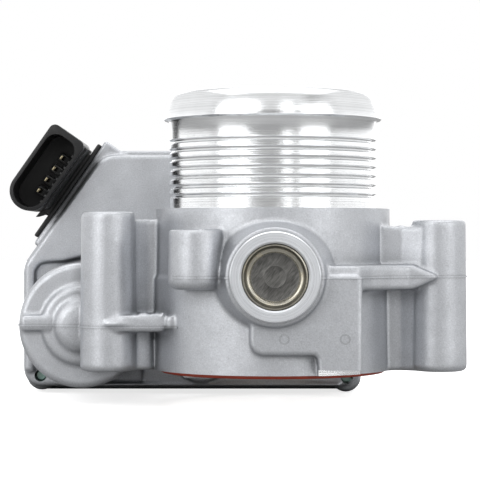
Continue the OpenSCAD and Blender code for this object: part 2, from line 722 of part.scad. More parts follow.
magnet_y = [motor_y + 7, motor_y + 37];
core_r = motor_r - 4.8;
module motor_magnets() color("dimgray") for (s = [0, 180])
    slab(magnet_y[0], magnet_y[1]) translate(motor_at) rotate(s) intersection() {
        difference() {
            circle(r = motor_r - 1.2 - press_gap);
            circle(r = core_r + 0.6);
        }
        polygon([[0, 0], [40 * cos(65), -40 * sin(65)], [60, 0], [40 * cos(65), 40 * sin(65)]]);
    }

module armature_core() color("gray") slab(motor_y + 11, motor_y + 33) translate(motor_at) difference() {
    circle(r = core_r);
    circle(r = motor_shaft_r + press_gap);
    for (i = [0:slot_count - 1]) rotate(360 * i / slot_count) union() {
        translate([core_r * 0.66, 0]) circle(r = 1.7);
        translate([core_r * 0.66, -0.5]) square([core_r, 1]);
    }
}

slot_count = 10;
module armature_winding() color("chocolate") {
    for (y = [motor_y + 7.4, motor_y + 33 + press_gap])
        tube(motor_at, motor_shaft_r + 1.4, core_r - 1.4, y, y + 3.6 - press_gap);
    for (i = [0:slot_count - 1]) let (a = 360 * i / slot_count)
        bar(motor_at + core_r * 0.66 * [cos(a), sin(a)], 1.6, motor_y + 8, motor_y + 35);
}

commutator_r = 4.6;
brush_y = motor_len + motor_y - 6.4;
module commutator() color("peru") tube(motor_at, motor_shaft_r + press_gap, commutator_r, brush_y - 0.8,
                                       brush_y + 5);

module motor_shaft() color("silver") bar(motor_at, motor_shaft_r, motor_y - 2.4, sector_y + 0.6);

pinion_turn = fast_angle + 180 + 180 / pinion_teeth;
module motor_pinion() color("gold") difference() {
    translate([motor_at.x, 0, motor_at.y]) gear_wheel(pinion_teeth, fast_module, pinion_turn,
                                                      large_y - 0.6, sector_y + 0.2);
    bar(motor_at, motor_shaft_r + press_gap, large_y - 1, sector_y + 1);
}

module motor_rear_bush() color("darkgoldenrod")
    tube(motor_at, motor_shaft_r + running_gap, motor_hub_r - 1.4 - press_gap, motor_y - 2.4,
         motor_y + 0.6);
module motor_front_bush() color("darkgoldenrod")
    tube(motor_at, motor_shaft_r + running_gap, 4, floor_y + press_gap, floor_y + 3.4);

module motor_mount_plate() color("silver") difference() {
    union() {
        bar(motor_at, motor_r + 0.6, floor_y, floor_y + plate_seat);
        for (a = motor_screw_angles) bar(motor_at + motor_screw_r * [cos(a), sin(a)], 3.6, floor_y,
                                         floor_y + plate_seat);
    }
    bar(motor_at, 4 + press_gap, floor_y - 1, floor_y + plate_seat + 1);
    for (a = motor_screw_angles) bar(motor_at + motor_screw_r * [cos(a), sin(a)], 1.7, floor_y - 1,
                                     floor_y + plate_seat + 1);
    for (a = terminal_angles) bar(motor_at + terminal_r * [cos(a), sin(a)], 1.9, floor_y - 1,
                                  floor_y + plate_seat + 1);
}

module motor_screws() color("gainsboro") for (a = motor_screw_angles) {
    p = motor_at + motor_screw_r * [cos(a), sin(a)];
    difference() {
        union() {
            bar(p, 1.5, floor_y - 3, floor_y + plate_seat + 1);
            bar(p, 2.7, floor_y + plate_seat, floor_y + plate_seat + 1.8);
        }
        translate([p.x, floor_y + plate_seat + 2, p.y]) rotate([90, 0, 0])
            cylinder(r = 1.3, h = 1.2, $fn = 6);
    }
}

terminal_angles = [110, 140];
terminal_r = motor_r - 7;
module brush_holder() color("darkolivegreen") difference() {
    bar(motor_at, motor_r - 1.2 - press_gap, brush_y - 0.8, floor_y - 0.4);
    bar(motor_at, commutator_r + 1, brush_y - 2, floor_y);
    for (s = [-1, 1]) block([motor_at.x + (s > 0 ? 0 : -11.6), brush_y - press_gap,
                             motor_at.y - 1.5 - press_gap],
                            [motor_at.x + (s > 0 ? 11.6 : 0), brush_y + 3.6 + press_gap,
                             motor_at.y + 1.5 + press_gap]);
    for (a = terminal_angles) terminal(a, press_gap);
}

module motor_brushes() color("black") for (s = [-1, 1]) difference() {
    block([motor_at.x + (s > 0 ? 0 : -10.5), brush_y, motor_at.y - 1.5],
          [motor_at.x + (s > 0 ? 10.5 : 0), brush_y + 3.6, motor_at.y + 1.5]);
    bar(motor_at, commutator_r + running_gap, brush_y - 1, brush_y + 5);
}

// A blade from the brush holder up to the control board
module terminal(a, grow) {
    p = motor_at + terminal_r * [cos(a), sin(a)];
    block([p.x - 0.4 - grow, floor_y - 4, p.y - 1.2 - grow], [p.x + 0.4 + grow, board_y, p.y + 1.2 + grow]);
}

module motor_terminals() color("gold") for (a = terminal_angles) terminal(a, 0);

// ---------------------------------------------------------------- cover

module gear_case_cover() color("silver") difference() {
    union() {
        slab(joint_y, cover_y) union() {
            polygon(case_outline(joint_lip));
            translate(left_lobe) circle(r = lobe_r);
            translate(right_lobe) circle(r = lobe_r);
        }
        on_face() block([-face_l / 2, joint_y, -14], [face_l / 2, cover_y, 0]);
        slab(joint_y, dome_y) dome_shape(dome_inset, head_r + 1.2);
    }
    difference() {
        slab(joint_y - 1, dome_inner_y) dome_shape(dome_inset + dome_wall, head_r + 1.2 + dome_wall);
        bar(axle_at, 4.4, joint_y, dome_y);
        for (p = board_posts) bar(p, 2.6, board_y + board_t, dome_y);
    }
    bar(axle_at, axle_d / 2 + press_gap, joint_y - 1, axle_end_y + 0.4);
    for (p = board_posts) bar(p, 1 + running_gap, board_y, dome_inner_y + 1);
    for (p = cover_screws_at) bar(p, cover_screw_d / 2 + 0.2, joint_y - 1, dome_y + 1);
}

// The raised middle of the cover, cut back around the screws
module dome_shape(inset, relief) difference() {
    polygon(case_outline(-inset));
    for (p = cover_screws_at) translate(p) circle(r = relief);
}

// The case outline set in by g, and kept g clear of the screws in the lobes
module seal_path(g) difference() {
    polygon(case_outline(-g));
    for (p = [left_lobe, right_lobe]) translate(p) circle(r = cover_screw_d / 2 + g);
}

module cover_gasket() color("black") slab(joint_y - 0.95, joint_y) difference() {
    seal_path(0.9);
    seal_path(2.15);
}

module cover_screws() color("darkseagreen") for (p = cover_screws_at) difference() {
    union() {
        bar(p, cover_screw_d / 2, joint_y - screw_len, cover_y + 1);
        bar(p, head_r, cover_y + press_gap, cover_y + head_h);
    }
    translate([p.x, cover_y + head_h + 1, p.y]) rotate([90, 0, 0])
        cylinder(r = cover_screw_d / 2, h = 2.6, $fn = 6);
}

// ---------------------------------------------------------------- board

board_low = shaft_at.y - 24;
board_high = shaft_at.y + 27;
board_left = face_at.x - 1;
board_reach = face_at * face_out - 12;
module control_board() color("darkgreen") difference() {
    slab(board_y, board_y + board_t) polygon([
        [board_left, board_low], [shaft_at.x + 21, board_low], [shaft_at.x + 21, board_high],
        [(board_high * face_out.y - board_reach) / -face_out.x, board_high],
        [board_left, (board_reach - board_left * face_out.x) / face_out.y]]);
    bar(axle_at, 5, board_y - 1, board_y + board_t + 1);
    for (p = board_posts) bar(p, 1 + 0.2, board_y - 1, board_y + board_t + 1);
}

module board_chips() color("dimgray") {
    // Position sensor over the magnet, driver and regulator
    block([shaft_at.x - 2.5, board_y - 0.7, shaft_at.y - 2.5],
          [shaft_at.x + 2.5, board_y, shaft_at.y + 2.5]);
    block([axle_at.x + 12, board_y - 1, axle_at.y + 14], [axle_at.x + 19, board_y, axle_at.y + 21]);
    block([axle_at.x - 4, board_y - 1, axle_at.y + 12], [axle_at.x + 2, board_y, axle_at.y + 18]);
}

module board_screws() color("gainsboro") for (p = board_posts) {
    bar(p, 1, board_y - 1, dome_inner_y + 0.6);
    bar(p, 2, board_y - 1.4, board_y);
}

// ---------------------------------------------------------------- connector

module connector_housing() color("black") on_face() difference() {
    union() {
        // Flange on the case's face, with rounded ends
        translate([0, face_y + face_w / 2, 0]) linear_extrude(flange_t)
            rounded_plate(flange_l, flange_w, 3);
        // Block through the window
        block([-window_l / 2 + 0.3, window_y + 0.3, -12],
              [window_l / 2 - 0.3, window_y + window_w - 0.3, 1]);
        // Neck and shroud
        block([shroud_x - mouth_l / 2 + 3, window_y - 4, 1],
              [shroud_x + mouth_l / 2 - 3, window_y + window_w + 1, shroud_z - mouth_w / 2 + 1.4]);
        translate([shroud_x, shroud_y + shroud_depth, shroud_z]) rotate([90, 0, 0])
            linear_extrude(shroud_depth) rounded_plate(mouth_l, mouth_w, 5);
        // Web from the neck to the shroud's lower end
        translate([shroud_x - mouth_l / 2 + 3, window_y, 1]) rotate([90, 0, 0]) linear_extrude(2)
            polygon([[0.2, 0], [0.2, 4.4], [-4.6, 4.4], [0, 1]]);
    }
    translate([shroud_x, shroud_y + socket_depth, shroud_z]) rotate([90, 0, 0])
        linear_extrude(socket_depth + 1) rounded_plate(mouth_l - 2 * shroud_wall,
                                                       mouth_w - 2 * shroud_wall, 4.2);
    for (i = [0:pin_count - 1]) pin(i, press_gap);
}

// A rectangle with true arcs at its corners
module rounded_plate(l, w, r) union() {
    square([l - 2 * r, w], center = true);
    square([l, w - 2 * r], center = true);
    for (x = [-1, 1], y = [-1, 1]) translate([x * (l / 2 - r), y * (w / 2 - r)]) circle(r = r);
}

pin_t = 0.8;
pin_w = 1.5;
pin_tip_y = shroud_y + 4.5;
pin_turn_y = window_y + 1.5;
pin_inner_z = -15;
pin_z = shroud_z - 1.9;
// A blade in the socket that turns inwards through the window and down to the board
module pin(i, grow) {
    x = shroud_x + (i - (pin_count - 1) / 2) * pin_pitch;
    block([x - pin_w / 2 - grow, pin_tip_y - grow, pin_z - pin_t / 2 - grow],
          [x + pin_w / 2 + grow, pin_turn_y + pin_t + grow, pin_z + pin_t / 2 + grow]);
    block([x - pin_w / 2 - grow, pin_turn_y - grow, pin_inner_z - grow],
          [x + pin_w / 2 + grow, pin_turn_y + pin_t + grow, pin_z + pin_t / 2]);
    block([x - pin_w / 2 - grow, pin_turn_y - grow, pin_inner_z - grow],
          [x + pin_w / 2 + grow, board_y, pin_inner_z + pin_t + grow]);
}

module connector_pins() color("khaki") on_face() for (i = [0:pin_count - 1]) pin(i, 0);

module connector_seal() color("orangered") on_face() difference() {
    block([-window_l / 2 - 1.9, window_y - 1.9, -1.95], [window_l / 2 + 1.9, window_y + window_w + 1.9, 0]);
    block([-window_l / 2 + 0.25, window_y + 0.25, -3],
          [window_l / 2 - 0.25, window_y + window_w - 0.25, 1]);
}

// ---------------------------------------------------------------- nodes

throttle_housing();
flange_seal();
shaft_end_plug();
front_bearing_outer_race();
front_bearing_inner_race();
front_bearing_balls();
rear_bearing_outer_race();
rear_bearing_inner_race();
rear_bearing_balls();
front_shaft_seal();
rear_shaft_seal();
throttle_shaft();
throttle_plate();
plate_screws();
throttle_gear();
spring_guide();
sensor_magnet();
return_spring();
intermediate_axle();
intermediate_gear();
motor_can();
motor_magnets();
motor_mount_plate();
motor_screws();
brush_holder();
motor_brushes();
motor_rear_bush();
motor_front_bush();
motor_shaft();
armature_core();
armature_winding();
commutator();
motor_pinion();
gear_case_cover();
cover_gasket();
cover_screws();
connector_housing();
connector_pins();
connector_seal();
control_board();
board_chips();
board_screws();
motor_terminals();
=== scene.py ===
"""Looks of a motor-driven throttle body: its casting, connector, cover, seals, screws and finishes.

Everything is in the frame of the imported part: the origin is where the air bore meets the flange,
+Z runs up the bore, the throttle shaft lies along Y and the motor is on the -X side.
Sizes inside the classes are in millimetres, and a Form turns them into metres when it is finished.
"""

import logging
import math
from dataclasses import dataclass, field
from enum import Enum
from typing import Callable, Iterable, Sequence

import bmesh
import bpy
from mathutils import Matrix, Vector


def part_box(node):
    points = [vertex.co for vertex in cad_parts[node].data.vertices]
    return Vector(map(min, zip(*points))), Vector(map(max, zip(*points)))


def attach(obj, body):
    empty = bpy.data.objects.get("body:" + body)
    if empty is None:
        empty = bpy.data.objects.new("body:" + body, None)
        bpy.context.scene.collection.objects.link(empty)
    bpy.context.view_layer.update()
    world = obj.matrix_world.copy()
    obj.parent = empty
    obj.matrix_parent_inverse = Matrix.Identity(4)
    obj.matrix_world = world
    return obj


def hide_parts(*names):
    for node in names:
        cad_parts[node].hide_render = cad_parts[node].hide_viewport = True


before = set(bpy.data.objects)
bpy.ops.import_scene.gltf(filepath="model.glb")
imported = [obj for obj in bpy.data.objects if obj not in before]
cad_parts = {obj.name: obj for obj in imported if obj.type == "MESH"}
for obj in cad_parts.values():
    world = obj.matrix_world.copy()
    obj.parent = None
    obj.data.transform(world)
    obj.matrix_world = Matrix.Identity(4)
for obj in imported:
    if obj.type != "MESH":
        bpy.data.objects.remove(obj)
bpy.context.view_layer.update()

LOG = logging.getLogger("throttle_body")
MM = 0.001
# Places of a Mix node's colour sockets, which share their names with its other kinds
MIX_FIRST, MIX_SECOND, MIX_COLOUR = 6, 7, 2
# The casting's materials, by their places on it
CAST, TURNED, NOSE, MILLED = range(4)
Point2 = tuple[float, float]
Point3 = tuple[float, float, float]
Colour = tuple[float, float, float]


class Way(Enum):
    """The three directions that a bar or a turned piece can lie along."""

    X = 0
    Y = 1
    Z = 2

    def turn(self) -> Matrix:
        """Returns: the rotation that lays a shape made along +Z along this way."""
        if self is Way.X:
            return Matrix.Rotation(math.pi / 2, 4, "Y")
        if self is Way.Y:
            return Matrix.Rotation(-math.pi / 2, 4, "X")
        return Matrix.Identity(4)


class Cut(Enum):
    """What one solid does to another."""

    REMOVE = "DIFFERENCE"
    ADD = "UNION"
    KEEP = "INTERSECT"


# ------------------------------------------------------------------ places


def box_mm(node: str) -> tuple[Vector, Vector]:
    """Gives a node's box in millimetres.

    Args:
        node: name of the node.
    Returns: its lowest and highest corners.
    """
    low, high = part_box(node)
    return Vector(low) / MM, Vector(high) / MM


@dataclass(frozen=True)
class Layout:
    """Driving places and sizes of the unit, in millimetres, read from the frame."""

    shaft_z: float
    bore_r: float
    spigot_z: float
    motor_x: float
    motor_z: float
    motor_y: float
    case_left: float
    case_right: float
    case_low: float
    case_high: float
    floor_y: float
    joint_y: float
    cover_y: float
    dome_y: float
    connector_angle: float = 55.0
    joint_lip: float = 2.2

    @classmethod
    def from_frame(cls) -> "Layout":
        """Returns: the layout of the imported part."""
        shaft_low, shaft_high = box_mm("shaft_end_plug")
        _, housing_high = box_mm("throttle_housing")
        motor_low, motor_high = box_mm("motor_can")
        gasket_low, gasket_high = box_mm("cover_gasket")
        cover_low, cover_high = box_mm("gear_case_cover")
        gasket_inset = 0.9
        return cls(
            shaft_z=(shaft_low.z + shaft_high.z) / 2,
            bore_r=30.0,
            spigot_z=housing_high.z,
            motor_x=(motor_low.x + motor_high.x) / 2,
            motor_z=(motor_low.z + motor_high.z) / 2,
            motor_y=motor_high.y - 44.5,
            case_left=gasket_low.x - gasket_inset,
            case_right=gasket_high.x + gasket_inset,
            case_low=gasket_low.z - gasket_inset,
            case_high=gasket_high.z + gasket_inset,
            floor_y=motor_high.y,
            joint_y=cover_low.y,
            cover_y=cover_low.y + 3.0,
            dome_y=cover_high.y,
        )

    @property
    def face_at(self) -> Vector:
        """The middle of the connector's slanted face, in X and Z."""
        return Vector((self.case_left + 15.2, self.case_high - 12.6))

    @property
    def face_dir(self) -> Vector:
        """The direction along the slanted face."""
        turn = math.radians(self.connector_angle)
        return Vector((math.cos(turn), math.sin(turn)))

    @property
    def face_out(self) -> Vector:
        """The direction out of the slanted face."""
        turn = math.radians(self.connector_angle)
        return Vector((-math.sin(turn), math.cos(turn)))

    def on_face(self, along: float, out: float) -> Point2:
        """Places a point of the connector's own plane.

        Args:
            along: distance along the slanted face from its middle.
            out: distance out of the face.
        Returns: the point's X and Z.
        """
        spot = self.face_at + self.face_dir * along + self.face_out * out
        return (spot.x, spot.y)

    def case_outline(self, grow: float) -> list[Point2]:
        """Draws the gear case outline.

        Args:
            grow: distance that the outline is moved outwards.
        Returns: its corners' arcs as X, Z points.
        """
        reach = self.face_at.dot(self.face_out) - self.joint_lip - 0.2 + grow
        top, side = self.case_high + grow, self.case_left - grow
        top_x = (reach - top * self.face_out.y) / self.face_out.x
        side_z = (reach - side * self.face_out.x) / self.face_out.y
        corners = [
            (side, self.case_low - grow), (self.case_right + grow, self.case_low - grow),
            (self.case_right + grow, top), (top_x, top), (side, side_z),
        ]
        return rounded(corners, [max(r + grow, 0.8) for r in (5.3, 5.0, 6.0, 9.0, 7.0)])


def oblong(middle: float, half: float, low: float, high: float) -> list[Point2]:
    """Places the corners of an upright oblong.

    Args:
        middle: its middle, across.
        half: half its width.
        low: its lower side.
        high: its upper side.
    Returns: the four corners, in order.
    """
    return [(middle - half, low), (middle + half, low), (middle + half, high), (middle - half, high)]


def rounded(points: Sequence[Point2], radii: Sequence[float], steps: int = 7) -> list[Point2]:
    """Rounds the corners of a closed outline.

    Args:
        points: the corners.
        radii: one radius a corner; 0 keeps it sharp.
        steps: pieces that each arc is made of.
    Returns: the outline's points.
    """
    out: list[Point2] = []
    count = len(points)
    for i, radius in enumerate(radii):
        here = Vector(points[i])
        before = (Vector(points[i - 1]) - here).normalized()
        after = (Vector(points[(i + 1) % count]) - here).normalized()
        if radius <= 0:
            out.append(tuple(here))
            continue
        half = before.angle(after) / 2
        centre = here + (before + after).normalized() * radius / math.sin(half)
        start = here + before * radius / math.tan(half) - centre
        end = here + after * radius / math.tan(half) - centre
        first = math.atan2(start.y, start.x)
        turn = (math.atan2(end.y, end.x) - first + math.pi * 3) % (math.pi * 2) - math.pi
        for k in range(steps + 1):
            angle = first + turn * k / steps
            out.append((centre.x + radius * math.cos(angle), centre.y + radius * math.sin(angle)))
    return out


def around(centre: Point2, radius: float, degrees: float) -> Point2:
    """Gives a point on a circle.

    Args:
        centre: the circle's centre.
        radius: its radius.
        degrees: the angle from the first axis.
    Returns: the point.
    """
    turn = math.radians(degrees)
    return (centre[0] + radius * math.cos(turn), centre[1] + radius * math.sin(turn))


# ------------------------------------------------------------------ shapes


class Form:
    """A shape in the making: closed pieces gathered in one mesh, in millimetres."""

    def __init__(self) -> None:
        """Starts an empty shape."""
        self.mesh = bmesh.new()

    def _gather(self, part: bmesh.types.BMesh, material: int) -> None:
        """Adds a finished piece to the shape and frees it.

        Args:
            part: the piece.
            material: index of the material that its faces take.
        """
        bmesh.ops.remove_doubles(part, verts=part.verts, dist=1e-5)
        bmesh.ops.recalc_face_normals(part, faces=part.faces)
        for face in part.faces:
            face.material_index = material
        holder = bpy.data.meshes.new("holder")
        part.to_mesh(holder)
        part.free()
        self.mesh.from_mesh(holder)
        bpy.data.meshes.remove(holder)

    @staticmethod
    def _soften(
        part: bmesh.types.BMesh, edges: Iterable[bmesh.types.BMEdge], radius: float, steps: int,
    ) -> None:
        """Rounds edges with an arc.

        Args:
            part: the piece that the edges belong to.
            edges: the edges.
            radius: the arc's radius.
            steps: pieces that the arc is made of.
        """
        chosen = list(edges)
        if radius > 0 and chosen:
            bmesh.ops.bevel(
                part, geom=chosen, offset=radius, offset_type="OFFSET", segments=steps,
                profile=0.5, affect="EDGES", clamp_overlap=True, material=-1,
            )

    def bar(
        self, way: Way, at: Point3, length: float, r0: float, r1: float | None = None,
        rim0: float = 0.0, rim1: float = 0.0, sides: int = 96, material: int = 0,
    ) -> "Form":
        """Adds a round bar or cone.

        Args:
            way: the direction of its axis.
            at: the centre of its first end.
            length: its length along the axis.
            r0: radius at the first end.
            r1: radius at the far end, or the same.
            rim0: rounding of the first end's edge.
            rim1: rounding of the far end's edge.
            sides: facets round the bar.
            material: index of its material.
        Returns: this form.
        """
        part = bmesh.new()
        bmesh.ops.create_cone(
            part, cap_ends=True, cap_tris=False, segments=sides,
            radius1=r0, radius2=r0 if r1 is None else r1, depth=length,
            matrix=Matrix.Translation((0, 0, length / 2)),
        )
        for level, radius in ((0.0, rim0), (length, rim1)):
            rim = [e for e in part.edges if all(abs(v.co.z - level) < 1e-4 for v in e.verts)]
            self._soften(part, rim, radius, 5)
        bmesh.ops.transform(part, matrix=Matrix.Translation(at) @ way.turn(), verts=part.verts)
        self._gather(part, material)
        return self

    def block(
        self, low: Point3, high: Point3, round_edges: float = 0.0, steps: int = 3, material: int = 0
    ) -> "Form":
        """Adds a box with rounded edges.

        Args:
            low: its lowest corner.
            high: its highest corner.
            round_edges: radius of all its edges.
            steps: pieces that each rounding is made of.
            material: index of its material.
        Returns: this form.
        """
        part = bmesh.new()
        size = Vector(high) - Vector(low)
        middle = (Vector(high) + Vector(low)) / 2
        place = Matrix.Translation(middle) @ Matrix.Diagonal((*size, 1))
        bmesh.ops.create_cube(part, size=1, matrix=place)
        self._soften(part, part.edges, round_edges, steps)
        self._gather(part, material)
        return self

    def egg(self, middle: Point3, reach: Point3, material: int = 0) -> "Form":
        """Adds an ellipsoid.

        Args:
            middle: its centre.
            reach: its half-sizes.
            material: index of its material.
        Returns: this form.
        """
        part = bmesh.new()
        place = Matrix.Translation(middle) @ Matrix.Diagonal((*reach, 1))
        bmesh.ops.create_uvsphere(part, u_segments=48, v_segments=24, radius=1, matrix=place)
        self._gather(part, material)
        return self

    def prism(
        self, outline: Sequence[Point2], y0: float, y1: float, front: float = 0.0, back: float = 0.0,
        steps: int = 4, material: int = 0,
    ) -> "Form":
        """Adds an X, Z outline stretched along Y.

        Args:
            outline: its corners.
            y0: the front face's place.
            y1: the back face's place.
            front: rounding of the front face's edges.
            back: rounding of the back face's edges.
            steps: pieces that each rounding is made of.
            material: index of its material.
        Returns: this form.
        """
        part = bmesh.new()
        face = part.faces.new([part.verts.new((x, y0, z)) for x, z in outline])
        grown = bmesh.ops.extrude_face_region(part, geom=[face], use_keep_orig=True)
        moved = [g for g in grown["geom"] if isinstance(g, bmesh.types.BMVert)]
        bmesh.ops.translate(part, vec=(0, y1 - y0, 0), verts=moved)
        bmesh.ops.recalc_face_normals(part, faces=part.faces)
        for level, radius in ((y0, front), (y1, back)):
            rim = [e for e in part.edges if all(abs(v.co.y - level) < 1e-4 for v in e.verts)]
            self._soften(part, rim, radius, steps)
        self._gather(part, material)
        return self

    def column(
        self, outline: Sequence[Point2], z0: float, z1: float, low: float = 0.0, high: float = 0.0,
        material: int = 0
    ) -> "Form":
        """Adds an X, Y outline stretched along Z.

        Args:
            outline: its corners.
            z0: the lower face's place.
            z1: the upper face's place.
            low: rounding of the lower face's edges.
            high: rounding of the upper face's edges.
            material: index of its material.
        Returns: this form.
        """
        part = bmesh.new()
        face = part.faces.new([part.verts.new((x, y, z0)) for x, y in outline])
        grown = bmesh.ops.extrude_face_region(part, geom=[face], use_keep_orig=True)
        moved = [g for g in grown["geom"] if isinstance(g, bmesh.types.BMVert)]
        bmesh.ops.translate(part, vec=(0, 0, z1 - z0), verts=moved)
        bmesh.ops.recalc_face_normals(part, faces=part.faces)
        for level, radius in ((z0, low), (z1, high)):
            rim = [e for e in part.edges if all(abs(v.co.z - level) < 1e-4 for v in e.verts)]
            self._soften(part, rim, radius, 4)
        self._gather(part, material)
        return self

    def turned(
        self, way: Way, at: Point3, profile: Sequence[Point2], sides: int = 128,
        closed: bool = False, material: int = 0,
    ) -> "Form":
        """Adds a turned piece.

        Args:
            way: the direction of its axis.
            at: a point on the axis, from which heights are counted.
            profile: radius and height of each corner, from axis to axis unless closed.
            sides: facets round the piece.
            closed: whether the profile is a ring clear of the axis.
            material: index of its material.
        Returns: this form.
        """
        part = bmesh.new()
        verts = [part.verts.new((r, 0, h)) for r, h in profile]
        pairs = list(zip(verts, verts[1:]))
        if closed:
            pairs.append((verts[-1], verts[0]))
        edges = [part.edges.new(p) for p in pairs]
        bmesh.ops.spin(
            part, geom=verts + edges, cent=(0, 0, 0), axis=(0, 0, 1), dvec=(0, 0, 0),
            angle=math.tau, steps=sides, use_merge=True, use_duplicate=False,
        )
        bmesh.ops.transform(part, matrix=Matrix.Translation(at) @ way.turn(), verts=part.verts)
        self._gather(part, material)
        return self

    def finish(
        self, name: str, crease: float = 32.0, materials: Sequence[bpy.types.Material] = (),
    ) -> bpy.types.Object:
        """Makes an object of the shape, in metres, with its sharp edges marked.

        Args:
            name: the object's name.
            crease: edges that turn more than this many degrees stay sharp.
            materials: what its material indices stand for.
        Returns: the object.
        """
        bmesh.ops.transform(self.mesh, matrix=Matrix.Scale(MM, 4), verts=self.mesh.verts)
        data = bpy.data.meshes.new(name)
        self.mesh.to_mesh(data)
        self.mesh.free()
        piece = bpy.data.objects.new(name, data)
        bpy.context.scene.collection.objects.link(piece)
        for material in materials:
            data.materials.append(material)
        shade(piece, crease)
        return piece


def shade(piece: bpy.types.Object, crease: float) -> None:
    """Shades a piece smooth, with sharp edges where it turns quickly.

    Args:
        piece: the piece.
        crease: edges that turn more than this many degrees stay sharp.
    """
    piece.data.shade_smooth()
    piece.data.set_sharp_from_angle(angle=math.radians(crease))


def settle(piece: bpy.types.Object) -> bpy.types.Object:
    """Makes a piece's modifiers part of its mesh.

    Args:
        piece: the piece.
    Returns: the same piece.
    """
    graph = bpy.context.evaluated_depsgraph_get()
    mesh = bpy.data.meshes.new_from_object(piece.evaluated_get(graph))
    old = piece.data
    piece.modifiers.clear()
    piece.data = mesh
    mesh.name = piece.name
    bpy.data.meshes.remove(old)
    return piece


def carve(piece: bpy.types.Object, tool: bpy.types.Object, cut: Cut) -> None:
    """Joins a solid with, or cuts it by, another, which is used up.

    Args:
        piece: the solid that stays.
        tool: the other solid.
        cut: what the tool does to the piece.
    """
    step = piece.modifiers.new("carve", "BOOLEAN")
    step.solver = "MANIFOLD"
    step.operation = cut.value
    step.object = tool
    settle(piece)
    data = tool.data
    bpy.data.objects.remove(tool)
    bpy.data.meshes.remove(data)


# ------------------------------------------------------------------ finishes


class Graph:
    """Short ways to lay out a material's nodes."""

    def __init__(self, name: str) -> None:
        """Starts a material with one surface shader.

        Args:
            name: the material's name.
        """
        self.material = bpy.data.materials.new(name)
        self.material.use_nodes = True
        self.nodes = self.material.node_tree.nodes
        self.links = self.material.node_tree.links
        self.shader = self.nodes["Principled BSDF"]
        self.place = self.add("ShaderNodeTexCoord").outputs["Object"]

    def add(self, kind: str, **values: object) -> bpy.types.Node:
        """Adds a node.

        Args:
            kind: its type.
            values: its settings.
        Returns: the node.
        """
        node = self.nodes.new(kind)
        for key, value in values.items():
            setattr(node, key, value)
        return node

    def join(self, source: object, target: object) -> None:
        """Links an output to an input.

        Args:
            source: the output.
            target: the input.
        """
        self.links.new(source, target)

    def set(self, **values: object) -> None:
        """Sets the shader's own values, each named by its socket.

        Args:
            values: the values.
        """
        for socket, value in values.items():
            self.shader.inputs[socket].default_value = value

    def stretched(self, scale: Point3, turn: Point3 = (0, 0, 0), move: Point3 = (0, 0, 0)) -> object:
        """Stretches the object's coordinates.

        Args:
            scale: stretch along each axis.
            turn: turn about each axis, in degrees.
            move: shift along each axis.
        Returns: the new coordinates.
        """
        node = self.add("ShaderNodeMapping", vector_type="TEXTURE" if any(turn) else "POINT")
        node.inputs["Scale"].default_value = [1 / s for s in scale] if any(turn) else scale
        node.inputs["Rotation"].default_value = [math.radians(t) for t in turn]
        node.inputs["Location"].default_value = move
        self.join(self.place, node.inputs["Vector"])
        return node.outputs["Vector"]

    def noise(
        self, size_mm: float, detail: float = 3.0, rough: float = 0.55, where: object = None,
    ) -> object:
        """Adds cloudy noise.

        Args:
            size_mm: size of its blots.
            detail: finer layers.
            rough: strength of the finer layers.
            where: coordinates, or the object's own.
        Returns: its height, from 0 to 1.
        """
        node = self.add("ShaderNodeTexNoise")
        node.inputs["Scale"].default_value = 1 / (size_mm * MM)
        node.inputs["Detail"].default_value = detail
        node.inputs["Roughness"].default_value = rough
        self.join(where or self.place, node.inputs["Vector"])
        return node.outputs["Fac"]

    def span(self, value: object, low: float, high: float, to_low: float, to_high: float) -> object:
        """Maps a range onto another.

        Args:
            value: what is mapped.
            low: start of its range.
            high: end of its range.
            to_low: what the start becomes.
            to_high: what the end becomes.
        Returns: the mapped value.
        """
        node = self.add("ShaderNodeMapRange")
        for socket, number in zip(
            ("From Min", "From Max", "To Min", "To Max"), (low, high, to_low, to_high),
        ):
            node.inputs[socket].default_value = number
        self.join(value, node.inputs["Value"])
        return node.outputs["Result"]

    def ramp(self, value: object, stops: Sequence[tuple[float, Colour]]) -> object:
        """Turns a value into a colour.

        Args:
            value: the value, from 0 to 1.
            stops: places and their colours.
        Returns: the colour.
        """
        node = self.add("ShaderNodeValToRGB")
        band = node.color_ramp
        while len(band.elements) < len(stops):
            band.elements.new(0.5)
        for element, (spot, colour) in zip(band.elements, stops):
            element.position = spot
            element.color = (*colour, 1)
        self.join(value, node.inputs["Fac"])
        return node.outputs["Color"]

    def paint_hollow_shade(self, colour: object, reach_mm: float, dark: float) -> None:
        """Paints shade into the surface's colour: darker in its hollows and creases, where shade falls.

        Args:
            colour: the open surface's colour.
            reach_mm: how near a hollow's sides are.
            dark: what the colour is multiplied by deep in a hollow.
        """
        hollow = self.add("ShaderNodeAmbientOcclusion", samples=6)
        hollow.inputs["Distance"].default_value = reach_mm * MM
        paint = self.add("ShaderNodeVectorMath", operation="SCALE")
        self.join(colour, paint.inputs[0])
        self.join(self.span(hollow.outputs["AO"], 0.35, 0.95, dark, 1.0), paint.inputs["Scale"])
        self.join(paint.outputs["Vector"], self.shader.inputs["Base Color"])

    def sum(self, first: object, second: object, share: float = 1.0) -> object:
        """Adds a share of one value to another.

        Args:
            first: the first value.
            second: the second value.
            share: how much of the second is added.
        Returns: the sum.
        """
        node = self.add("ShaderNodeMath", operation="MULTIPLY_ADD")
        self.join(second, node.inputs[0])
        node.inputs[1].default_value = share
        self.join(first, node.inputs[2])
        return node.outputs["Value"]

    def relief(self, height: object, depth_mm: float, strength: float = 1.0) -> None:
        """Raises the surface by a height.

        Args:
            height: the height, from 0 to 1.
            depth_mm: what a height of 1 stands for.
            strength: how much of it shows.
        """
        node = self.add("ShaderNodeBump")
        node.inputs["Distance"].default_value = depth_mm * MM
        node.inputs["Strength"].default_value = strength
        self.join(height, node.inputs["Height"])
        self.join(node.outputs["Normal"], self.shader.inputs["Normal"])


